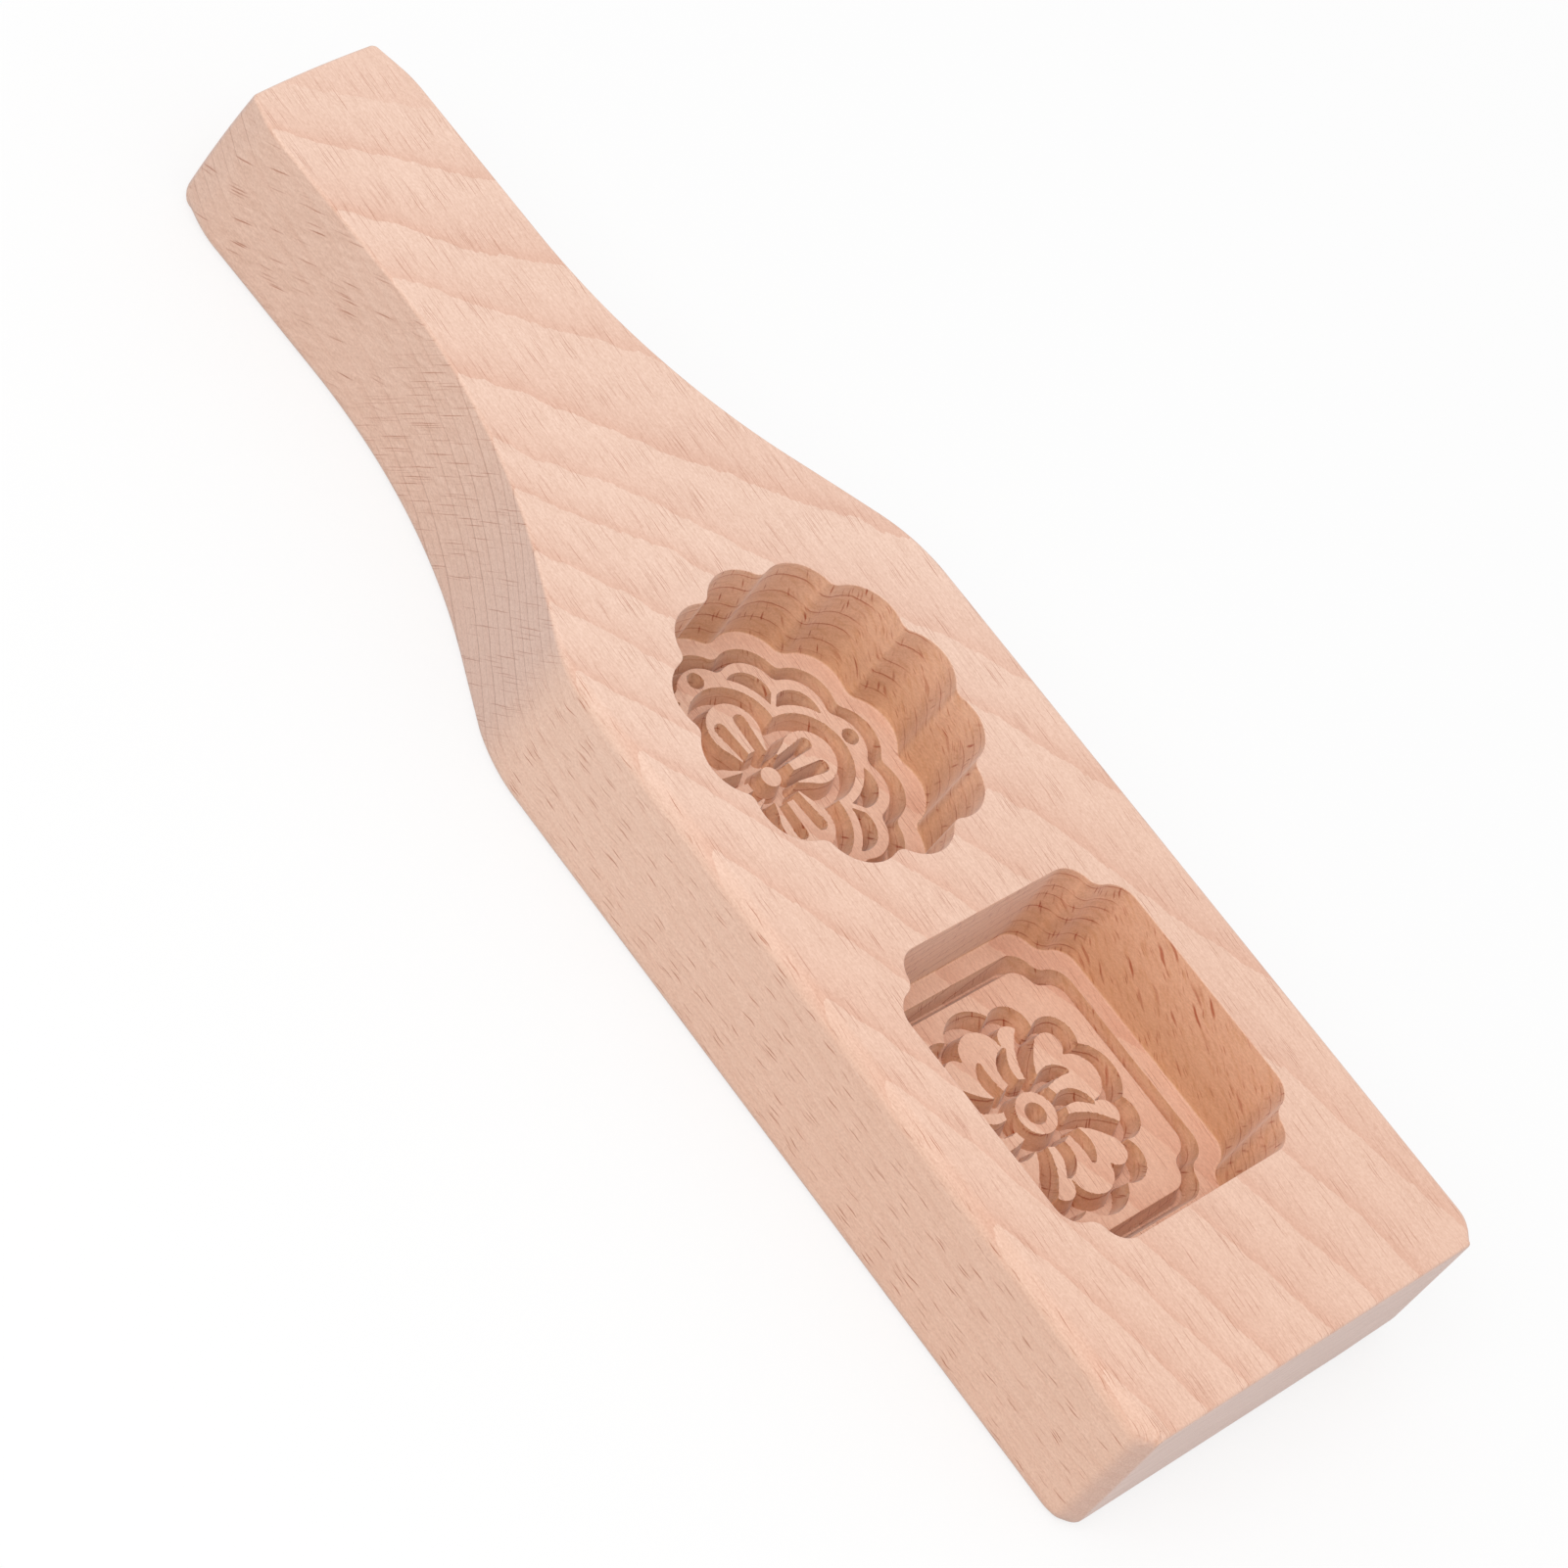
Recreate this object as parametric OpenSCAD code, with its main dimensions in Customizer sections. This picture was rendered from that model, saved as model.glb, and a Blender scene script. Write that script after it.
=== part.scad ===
// Wooden mooncake mold: one beech board, sawn to a paddle and carved with two cavities.
// The length runs along X with the handle at -X. The carved face is up, and the
// origin is at the middle of the board's box, on the face that it rests on.

/* [Board] */
// Overall length, from the handle's end to the blade's end
length = 212.8; // [200:0.1:240]
// Thickness of the board
thickness = 22.5; // [21:0.1:30]
// Width of the blade at its end
blade_end_w = 69.7; // [66:0.1:80]
// Width of the blade at the shoulders
shoulder_w = 66.3; // [62:0.1:74]
// Distance from the handle's end to the shoulders
shoulder_from_handle = 92.5; // [89:0.1:96]
// Radius of the shoulders
shoulder_r = 24; // [5:0.5:30]
// Radius of the blade's end corners
blade_corner_r = 3; // [1:0.1:8]
// Rounding of the blade's long edges
edge_r = 2; // [0.5:0.1:4]

/* [Handle] */
// Width at the handle's end
handle_end_w = 24.3; // [22.6:0.1:26]
// Width at the swell near the handle's end
swell_w = 27.5; // [26.5:0.1:28.7]
// Distance from the handle's end to the swell
swell_from_end = 6.9; // [5.5:0.1:10]
// Radius of the swell
swell_r = 20; // [5:0.5:25]
// Radius of the handle's end corners
handle_corner_r = 2.5; // [0.5:0.1:3.7]
// Width at the neck, where the lines of the handle and the shoulders would cross
neck_w = 26.8; // [22:0.1:30]
// Distance from the handle's end to the neck
neck_from_end = 58; // [52:0.1:60]
// Radius of the hollow curve from the handle to the shoulders
neck_r = 95; // [40:0.5:98]

/* [Cavities] */
// Distance from the blade's end to the square cavity's centre
square_from_end = 46.4; // [44:0.1:48]
// Distance between the centres of the two cavities
cavity_pitch = 55.5; // [53:0.1:57]
// Depth from the top face to the floor of a cavity
cavity_depth = 15.4; // [10:0.1:16.5]
// Depth of the carving below that floor
carving_depth = 3; // [1:0.1:3.5]
// Width of the ledge between the wall and the channel
ledge_w = 3; // [2:0.1:3.6]
// Width of the channel round the carved field
channel_w = 2.2; // [1:0.1:2.4]

/* [Round cavity] */
// Width across the tips of the lobes
lobe_tip_d = 46.2; // [45.5:0.1:50]
// Width across the notches between the lobes
lobe_notch_d = 42.4; // [41.8:0.1:43.5]
// Distance from the centre to the middle of a petal's head
petal_at = 7.8; // [7.5:0.1:8]
// Radius of a petal's head
petal_r = 4.15; // [4:0.05:4.3]
// Width of a petal below its head
petal_body_w = 7.4; // [7:0.1:7.8]
// Width of a petal at the centre
petal_root_w = 4.2; // [3.6:0.1:5]
// Width of the groove round a petal
petal_groove_w = 2.6; // [2:0.1:2.8]
// Width of the ribs between the carved hollows
rib_w = 1.2; // [0.8:0.1:1.5]
// Radius of the recess round the centre
hub_recess_r = 4.2; // [3.6:0.1:4.6]
// Radius of the disc in the centre
hub_disc_r = 1.5; // [1:0.1:2]
// Width of the two slots in a petal
petal_slot_w = 2.2; // [1.5:0.1:2.3]
// Distance from the petal's centre line to the middle of a slot
petal_slot_offset = 1.7; // [1.6:0.05:1.8]
// Distance from the centre to the outer end of a slot
petal_slot_end = 9.9; // [9:0.1:10.4]
// Radius of the four dots
dot_r = 1.3; // [0.8:0.1:1.4]
// Distance from a dot to the edge of the carved field
dot_margin = 0.5; // [0.4:0.1:0.8]

/* [Square cavity] */
// Width of the square
square_w = 46; // [45:0.1:48]
// Distance from each corner of the square to where its sides turn in
corner_turn_in = 5.6; // [5.5:0.1:6.4]
// Distance from the sides to the bottom of the notch in each corner, before it is rounded
corner_notch_in = 4.4; // [4:0.1:4.5]
// Radius of each corner's notch
corner_notch_r = 2.4; // [1.6:0.1:2.6]
// Radius of the rounds beside each notch
corner_round_r = 3.8; // [2.5:0.1:3.9]
// Turn of the flower against the square
flower_turn = 4; // [0:0.5:10]
// Distance from the flower's carving to the edge of the carved field
flower_margin = 1.2; // [0.8:0.1:1.6]
// Width of the groove outside the petals
flower_groove_w = 3; // [2.4:0.1:3.2]
// Radius of the middle scallop of the groove
mid_scallop_r = 5.4; // [5:0.1:5.8]
// Radius of the side scallops of the groove
side_scallop_r = 4.4; // [4:0.1:4.8]
// How far the side scallops lie inside the middle one
side_scallop_inset = 0.7; // [0.3:0.1:1]
// Radius of the middle lobe of a petal
mid_lobe_r = 3.7; // [3.3:0.1:3.9]
// Radius of the side lobes of a petal
side_lobe_r = 2.1; // [1.8:0.1:2.2]
// How far the side lobes lie inside the middle one
side_lobe_inset = 0.35; // [0.1:0.05:0.6]
// Angle from a petal's middle to its side lobes
side_lobe_turn = 30; // [29:0.5:31]
// Radius of the recess round the ring
ring_recess_r = 5; // [4.6:0.1:5.2]
// Width of a petal at the ring
flower_root_w = 3.2; // [2.6:0.1:3.8]
// Outer radius of the ring in the centre
ring_r = 3.2; // [2.8:0.1:3.6]
// Radius of the hole in that ring
ring_hole_r = 1.7; // [1.2:0.1:2]
// Width of the two slots in a petal
flower_slot_w = 2; // [1.4:0.1:2.2]
// Angle from a petal's middle to its slots
flower_slot_turn = 15.5; // [15:0.5:16.5]
// Distance from the centre to the outer end of a slot
flower_slot_end = 9.8; // [9:0.1:10.2]

/* [Hidden] */
$fn = 96;
petals = 4;
// Each petal of the round cavity spans a lobe with a dot and two with crescents
lobes = 3 * petals;
// Largest distance from a drawn arc of an outline to its straight steps
arc_gap = 0.01;
// Overlap of a cut with the space above it
overlap = 0.5;
square_x = length / 2 - square_from_end;
round_x = square_x - cavity_pitch;
floor_z = thickness - cavity_depth;
carving_z = floor_z - carving_depth;
round_tip_r = lobe_tip_d / 2;
round_field_r = round_tip_r - ledge_w - channel_w;
square_half = square_w / 2;
well_r = petal_r + petal_groove_w;
dot_at = round_field_r - dot_margin - dot_r;
// Radius and centre distance of the lobes round the round cavity's carved field
field_lobe_r = lobe_r(round_field_r);
field_lobe_at = round_field_r - field_lobe_r;
square_field = square_half - ledge_w - channel_w;
flower_r = square_field - flower_margin;
mid_scallop_at = flower_r - mid_scallop_r;
side_scallop_at = flower_r - side_scallop_inset - side_scallop_r;
petal_tip_r = flower_r - flower_groove_w;
mid_lobe_at = petal_tip_r - mid_lobe_r;
side_lobe_at = petal_tip_r - side_lobe_inset - side_lobe_r;

// Corners of the board's outline on one side, each with the radius that rounds it
corners = [
    [-length / 2, handle_end_w / 2, handle_corner_r],
    [-length / 2 + swell_from_end, swell_w / 2, swell_r],
    [-length / 2 + neck_from_end, neck_w / 2, neck_r],
    [-length / 2 + shoulder_from_handle, shoulder_w / 2, shoulder_r],
    [length / 2, blade_end_w / 2, blade_corner_r],
];

function at(p) = [p[0], p[1]];
function unit(v) = v / norm(v);

// Points of the arc that rounds the corner b between a and c
function rounded_corner(a, b, c) =
    let (
        u = unit(at(a) - at(b)),
        v = unit(at(c) - at(b)),
        half = acos(u * v) / 2,
        centre = at(b) + unit(u + v) * b[2] / sin(half),
        start = at(b) + u * b[2] / tan(half) - centre,
        side = sign(u[0] * v[1] - u[1] * v[0]),
        sweep = -side * (180 - 2 * half),
        first = atan2(start[1], start[0]),
        steps = ceil(abs(sweep) / (2 * acos(1 - arc_gap / b[2])))
    )
    [for (i = [0:steps]) centre + b[2] * [cos(first + sweep * i / steps), sin(first + sweep * i / steps)]];

// One side of the outline, from the handle's end to the blade's end
function half_outline() =
    let (ends = concat([[-length / 2, 0, 0]], corners, [[length / 2, 0, 0]]))
    [for (i = [1:len(corners)]) each rounded_corner(ends[i - 1], ends[i], ends[i + 1])];

// Radius of the arcs in a ring of lobes, in the proportions of the cavity's rim
function lobe_r(tip) =
    let (
        notch = tip * lobe_notch_d / lobe_tip_d,
        chord = notch * sin(180 / lobes),
        rise = tip - notch * cos(180 / lobes)
    )
    (chord * chord + rise * rise) / (2 * rise);

module board_outline() {
    side = half_outline();
    last = len(side) - 1;
    polygon(concat(side, [for (i = [0:last]) [side[last - i][0], -side[last - i][1]]]));
}

// A straight edge round, laid along the blade's side from the shoulder to past the end
module edge_round() {
    shoulder = at(corners[3]);
    run = at(corners[4]) - shoulder;
    reach = norm(run) + 2 * edge_r;
    translate([shoulder[0], shoulder[1], thickness])
        rotate(atan2(run[1], run[0]))
            translate([-shoulder_r, 0, 0])
                rotate([90, 0, 90])
                    linear_extrude(reach + shoulder_r)
                        difference() {
                            translate([-edge_r, -edge_r])
                                square(2 * edge_r);
                            translate([-edge_r, -edge_r])
                                circle(edge_r);
                        }
}

module board() {
    difference() {
        linear_extrude(thickness)
            board_outline();
        edge_round();
        mirror([0, 1, 0])
            edge_round();
    }
}

// A ring of round lobes, filled
module rosette(tip) {
    r = lobe_r(tip);
    for (i = [0:lobes - 1])
        rotate(360 * i / lobes)
            translate([tip - r, 0])
                circle(r);
    circle(tip - r);
}

// A square whose corners turn in to a round notch, scaled to the half width given
module notched_square(half) {
    turn_at = square_half - corner_turn_in;
    notch_at = square_half - corner_notch_in;
    quarter = [
        [square_half, turn_at, corner_round_r],
        [notch_at, notch_at, corner_notch_r],
        [turn_at, square_half, corner_round_r],
    ];
    ends = concat([[square_half, 0, 0]], quarter, [[0, square_half, 0]]);
    side = [for (i = [1:len(quarter)]) each rounded_corner(ends[i - 1], ends[i], ends[i + 1])];
    scale(half / square_half)
        polygon([for (turn = [0:90:270], q = side) [
            q[0] * cos(turn) - q[1] * sin(turn),
            q[0] * sin(turn) + q[1] * cos(turn),
        ]]);
}

// One petal of the round cavity, pointing along +X
module round_petal() {
    difference() {
        union() {
            translate([petal_at, 0])
                circle(petal_r);
            polygon([
                [hub_disc_r, -petal_root_w / 2],
                [petal_at, -petal_body_w / 2],
                [petal_at, petal_body_w / 2],
                [hub_disc_r, petal_root_w / 2],
            ]);
        }
        for (side = [-1, 1])
            translate([0, side * petal_slot_offset])
                slot(hub_recess_r - overlap, petal_slot_end, petal_slot_w);
    }
}

// A slot along +X with a round outer end
module slot(from, to, width) {
    translate([from, -width / 2])
        square([to - width / 2 - from, width]);
    translate([to - width / 2, 0])
        circle(width / 2);
}

// A crescent inside one lobe of the carved field, kept apart from its neighbours by ribs
module crescent(turn) {
    difference() {
        rotate(turn)
            translate([field_lobe_at, 0])
                circle(field_lobe_r - rib_w);
        for (i = [0:petals - 1])
            rotate(360 * i / petals)
                translate([petal_at, 0])
                    circle(well_r + rib_w);
        for (side = [-1, 1])
            rotate(turn + side * 180 / lobes)
                translate([0, -rib_w / 2])
                    square([round_tip_r, rib_w]);
    }
}

module round_carving() {
    difference() {
        union() {
            for (i = [0:petals - 1])
                rotate(360 * i / petals)
                    translate([petal_at, 0])
                        circle(well_r);
            circle(hub_recess_r);
        }
        circle(hub_disc_r);
        difference() {
            for (i = [0:petals - 1])
                rotate(360 * i / petals)
                    round_petal();
            circle(hub_recess_r);
        }
    }
    for (i = [0:petals - 1]) {
        rotate(360 * i / petals)
            translate([dot_at, 0])
                circle(dot_r);
        for (side = [-1, 1])
            crescent(360 * i / petals + side * 360 / lobes);
    }
}

// One petal of the square cavity's flower, pointing along +X
module flower_petal() {
    lobe_c = side_lobe_at * [cos(side_lobe_turn), sin(side_lobe_turn)];
    flank = lobe_c + side_lobe_r * [-sin(side_lobe_turn), cos(side_lobe_turn)];
    edge = [[ring_r, flower_root_w / 2], flank, lobe_c];
    difference() {
        union() {
            translate([mid_lobe_at, 0])
                circle(mid_lobe_r);
            for (side = [-1, 1])
                rotate(side * side_lobe_turn)
                    translate([side_lobe_at, 0])
                        circle(side_lobe_r);
            polygon(concat(edge, [for (i = [2:-1:0]) [edge[i][0], -edge[i][1]]]));
        }
        for (side = [-1, 1])
            rotate(side * flower_slot_turn)
                slot(ring_recess_r - overlap, flower_slot_end, flower_slot_w);
    }
}

module flower_carving() {
    rotate(flower_turn) {
        difference() {
            union() {
                for (i = [0:petals - 1])
                    rotate(360 * i / petals) {
                        translate([mid_scallop_at, 0])
                            circle(mid_scallop_r);
                        for (side = [-1, 1])
                            rotate(side * side_lobe_turn)
                                translate([side_scallop_at, 0])
                                    circle(side_scallop_r);
                    }
                circle(side_scallop_at);
            }
            circle(ring_r);
            difference() {
                for (i = [0:petals - 1])
                    rotate(360 * i / petals)
                        flower_petal();
                circle(ring_recess_r);
            }
        }
        circle(ring_hole_r);
    }
}

// The space of a cavity: its well, the channel round its carved field, and the carving
module round_cavity() {
    translate([0, 0, floor_z])
        linear_extrude(cavity_depth + overlap)
            rosette(round_tip_r);
    translate([0, 0, carving_z])
        linear_extrude(carving_depth + overlap) {
            difference() {
                rosette(round_tip_r - ledge_w);
                rosette(round_field_r);
            }
            round_carving();
        }
}

module square_cavity() {
    translate([0, 0, floor_z])
        linear_extrude(cavity_depth + overlap)
            notched_square(square_half);
    translate([0, 0, carving_z])
        linear_extrude(carving_depth + overlap) {
            difference() {
                notched_square(square_half - ledge_w);
                notched_square(square_field);
            }
            flower_carving();
        }
}

module mold_board() {
    color("burlywood")
        difference() {
            board();
            translate([round_x, 0, 0])
                round_cavity();
            translate([square_x, 0, 0])
                square_cavity();
        }
}

mold_board();
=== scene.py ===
"""A wooden mooncake mold: one board of pale beech with a round and a square cavity, a carved flower in each.

Shapes are worked out in millimetres, in the frame of the part, and become metres when a mesh is filled in.
"""

import logging
from abc import ABC, abstractmethod
from collections.abc import Sequence
from dataclasses import dataclass, field
from enum import Enum
from functools import reduce

import bpy
import numpy as np
from mathutils import Matrix
from mathutils.geometry import tessellate_polygon


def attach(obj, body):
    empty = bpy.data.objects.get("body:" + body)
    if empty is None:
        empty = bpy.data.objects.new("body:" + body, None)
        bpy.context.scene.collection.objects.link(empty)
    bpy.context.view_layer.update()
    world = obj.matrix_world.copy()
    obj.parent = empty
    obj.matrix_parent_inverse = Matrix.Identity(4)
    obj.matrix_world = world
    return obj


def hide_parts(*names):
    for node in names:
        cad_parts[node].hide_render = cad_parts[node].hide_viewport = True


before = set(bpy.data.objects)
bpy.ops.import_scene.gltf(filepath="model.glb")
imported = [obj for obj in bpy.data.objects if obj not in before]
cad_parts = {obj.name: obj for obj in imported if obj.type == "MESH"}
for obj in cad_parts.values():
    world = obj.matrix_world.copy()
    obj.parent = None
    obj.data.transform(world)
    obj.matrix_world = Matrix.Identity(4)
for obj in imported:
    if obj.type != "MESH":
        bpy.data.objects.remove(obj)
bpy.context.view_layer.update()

log = logging.getLogger("mold")

# Metres in a millimetre
MM = 0.001
# How far a point may lie off an outline, in millimetres, and still count as on it
ON_OUTLINE = 0.004
# A distance, in millimetres, that counts as none
HAIR = 1e-6
# Twice the area, in square millimetres, under which a triangle of a flat face is left out
SLIVER = 1e-9

Socket = bpy.types.NodeSocket
Pair = tuple[float, float]
Triple = tuple[float, float, float]


def linear(red: int, green: int, blue: int) -> tuple[float, float, float, float]:
    """Turns a colour as seen on a screen into the linear one that a shader takes.

    Args:
        red: Red, 0 to 255.
        green: Green, 0 to 255.
        blue: Blue, 0 to 255.

    Returns:
        Linear red, green and blue, and an alpha of one.
    """
    screen = np.array([red, green, blue]) / 255
    light = np.where(screen <= 0.04045, screen / 12.92, ((screen + 0.055) / 1.055) ** 2.4)
    return (*(float(x) for x in light), 1.0)


def unit(vectors: np.ndarray) -> np.ndarray:
    """Vectors of length one with the directions of the rows given."""
    return vectors / np.maximum(np.linalg.norm(vectors, axis=-1, keepdims=True), 1e-12)


def smooth_step(low: float, high: float, x: np.ndarray) -> np.ndarray:
    """Runs smoothly from 0 at low to 1 at high, which may be the smaller of the two."""
    t = np.clip((x - low) / (high - low), 0, 1)
    return t * t * (3 - 2 * t)


def turned(points: np.ndarray, degrees: float) -> np.ndarray:
    """Points turned counter-clockwise about the origin."""
    c, s = np.cos(np.radians(degrees)), np.sin(np.radians(degrees))
    return points @ np.array([[c, s], [-s, c]])


def rounded_loop(corners: np.ndarray, gap: float, run: float) -> np.ndarray:
    """Draws a closed loop whose corners are rounded.

    Each corner gives way to the arc that touches both its sides, and the straight between two arcs is cut into steps.

    Args:
        corners: A row for each corner, counter-clockwise: x, y and the radius that rounds it.
        gap: Largest distance from an arc to its chords.
        run: Longest step on a straight.

    Returns:
        The points of the loop, counter-clockwise, the first not repeated.
    """
    at, radius = corners[:, :2], corners[:, 2]
    u, v = unit(np.roll(at, 1, 0) - at), unit(np.roll(at, -1, 0) - at)
    half = np.arccos(np.clip((u * v).sum(1), -1, 1)) / 2
    centre = at + unit(u + v) * (radius / np.sin(half))[:, None]
    spoke = at + u * (radius / np.tan(half))[:, None] - centre
    first = np.arctan2(spoke[:, 1], spoke[:, 0])
    sweep = -np.sign(u[:, 0] * v[:, 1] - u[:, 1] * v[:, 0]) * (np.pi - 2 * half)
    steps = np.ceil(np.abs(sweep) / (2 * np.arccos(1 - gap / radius))).astype(int)
    arcs = []
    for i in range(len(corners)):
        angle = first[i] + sweep[i] * np.linspace(0, 1, steps[i] + 1)
        arcs.append(centre[i] + radius[i] * np.c_[np.cos(angle), np.sin(angle)])
    pieces = []
    for arc, following in zip(arcs, arcs[1:] + arcs[:1]):
        straight = following[0] - arc[-1]
        cuts = max(1, int(np.ceil(np.linalg.norm(straight) / run)))
        pieces += [arc, arc[-1] + straight * (np.arange(1, cuts) / cuts)[:, None]]
    return np.concatenate(pieces)


def spread(loop: np.ndarray, count: int) -> np.ndarray:
    """Points spread evenly along a closed loop.

    Args:
        loop: The points of the loop.
        count: How many points to return.

    Returns:
        The points, starting from the first point of the loop.
    """
    ring = np.concatenate([loop, loop[:1]])
    along = np.r_[0, np.cumsum(np.linalg.norm(np.diff(ring, axis=0), axis=1))]
    wanted = np.arange(count) / count * along[-1]
    return np.c_[np.interp(wanted, along, ring[:, 0]), np.interp(wanted, along, ring[:, 1])]


def outward(loop: np.ndarray) -> np.ndarray:
    """Outward normals of a closed counter-clockwise loop."""
    along = unit(np.roll(loop, -1, 0) - np.roll(loop, 1, 0))
    return np.c_[along[:, 1], -along[:, 0]]


class Cut(ABC):
    """A flat shape that a carver cuts: a signed distance, negative inside, and the points of its own outline."""

    @abstractmethod
    def value(self, p: np.ndarray) -> np.ndarray:
        """Signed distance from the outline at each point."""

    @abstractmethod
    def edge(self, step: float) -> np.ndarray:
        """Points along the outline, about a step apart."""

    def __or__(self, other: "Cut") -> "Cut":
        """Both shapes together."""
        return Together((self, other))

    def __and__(self, other: "Cut") -> "Cut":
        """What the two shapes share."""
        return Shared((self, other))

    def __sub__(self, other: "Cut") -> "Cut":
        """This shape without the other."""
        return Shared((self, Outside(other)))


@dataclass(frozen=True)
class Together(Cut):
    """Several shapes as one."""

    parts: tuple[Cut, ...]

    def value(self, p: np.ndarray) -> np.ndarray:
        """The least of the parts' distances."""
        return np.minimum.reduce([part.value(p) for part in self.parts])

    def edge(self, step: float) -> np.ndarray:
        """The outlines of all parts."""
        return np.concatenate([part.edge(step) for part in self.parts])


@dataclass(frozen=True)
class Shared(Cut):
    """What several shapes have in common."""

    parts: tuple[Cut, ...]

    def value(self, p: np.ndarray) -> np.ndarray:
        """The largest of the parts' distances."""
        return np.maximum.reduce([part.value(p) for part in self.parts])

    def edge(self, step: float) -> np.ndarray:
        """The outlines of all parts."""
        return np.concatenate([part.edge(step) for part in self.parts])


@dataclass(frozen=True)
class Outside(Cut):
    """All that lies outside a shape."""

    part: Cut

    def value(self, p: np.ndarray) -> np.ndarray:
        """The part's distance with its sign changed."""
        return -self.part.value(p)

    def edge(self, step: float) -> np.ndarray:
        """The part's own outline."""
        return self.part.edge(step)


@dataclass(frozen=True)
class Turns(Cut):
    """A shape repeated round the centre.

    Attributes:
        part: The shape.
        turns: The angles of the copies, in degrees.
    """

    part: Cut
    turns: tuple[float, ...]

    def value(self, p: np.ndarray) -> np.ndarray:
        """The least distance among the copies: the points turn back, not the shape."""
        return np.minimum.reduce([self.part.value(turned(p, -a)) for a in self.turns])

    def edge(self, step: float) -> np.ndarray:
        """The part's outline at each turn."""
        outline = self.part.edge(step)
        return np.concatenate([turned(outline, a) for a in self.turns])


@dataclass(frozen=True)
class Disc(Cut):
    """A round cut."""

    x: float
    y: float
    r: float

    def value(self, p: np.ndarray) -> np.ndarray:
        """Distance from the centre less the radius."""
        return np.hypot(p[:, 0] - self.x, p[:, 1] - self.y) - self.r

    def edge(self, step: float) -> np.ndarray:
        """Points round the circle."""
        a = np.arange(0, 2 * np.pi, step / self.r)
        return np.c_[self.x + self.r * np.cos(a), self.y + self.r * np.sin(a)]


@dataclass(frozen=True)
class Stroke(Cut):
    """A gouge stroke: a round tool carried along a bent path, its width changing on the way.

    Attributes:
        path: Points that the stroke's middle passes: x, y and the width there.
        beads: How many positions of the tool make up the stroke.
    """

    path: tuple[Triple, ...]
    beads: int = 48

    def tool(self) -> np.ndarray:
        """Positions of the tool along the path.

        One smooth curve passes all the points: a polynomial in the distance along the path.

        Returns:
            A row for each position: x, y and the tool's radius.
        """
        points = np.array(self.path)
        knots = np.r_[0, np.cumsum(np.linalg.norm(np.diff(points[:, :2], axis=0), axis=1))]
        t = np.linspace(0, knots[-1], self.beads)[:, None]
        rows = np.zeros((self.beads, 3))
        for i in range(len(points)):
            others = np.delete(knots, i)
            rows += points[i] * np.prod((t - others) / (knots[i] - others), axis=1)[:, None]
        rows[:, 2] /= 2
        return rows

    def value(self, p: np.ndarray) -> np.ndarray:
        """Distance from the nearest position of the tool.

        Args:
            p: The points.

        Returns:
            The distance of each point, negative under the tool.
        """
        best = np.full(len(p), np.inf)
        for x, y, r in self.tool():
            np.minimum(best, np.hypot(p[:, 0] - x, p[:, 1] - y) - r, out=best)
        return best

    def edge(self, step: float) -> np.ndarray:
        """Those points of the tool's circles that lie on the stroke's outline.

        Args:
            step: Distance between points on the largest circle.

        Returns:
            The points.
        """
        tool = self.tool()
        a = np.arange(0, 2 * np.pi, step / tool[:, 2].max())
        rings = tool[:, None, :2] + tool[:, None, 2:] * np.stack([np.cos(a), np.sin(a)], 1)
        points = rings.reshape(-1, 2)
        return points[self.value(points) > -ON_OUTLINE / 2]


@dataclass(frozen=True)
class Facet(Cut):
    """A shape with straight sides and no hollow, its corners counter-clockwise."""

    corners: tuple[Pair, ...]

    def value(self, p: np.ndarray) -> np.ndarray:
        """Distance outside the side that a point is farthest out of.

        Args:
            p: The points.

        Returns:
            The distance of each point, negative inside.
        """
        at = np.array(self.corners)
        along = unit(np.roll(at, -1, 0) - at)
        normal = np.c_[along[:, 1], -along[:, 0]]
        return (p @ normal.T - (at * normal).sum(1)).max(1)

    def edge(self, step: float) -> np.ndarray:
        """Points along the sides.

        Args:
            step: Distance between the points, about.

        Returns:
            The points, side by side.
        """
        at = np.array(self.corners)
        sides = []
        for a, b in zip(at, np.roll(at, -1, 0)):
            cuts = max(2, int(np.linalg.norm(b - a) / step))
            sides.append(a + (b - a) * (np.arange(cuts) / cuts)[:, None])
        return np.concatenate(sides)


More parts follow.
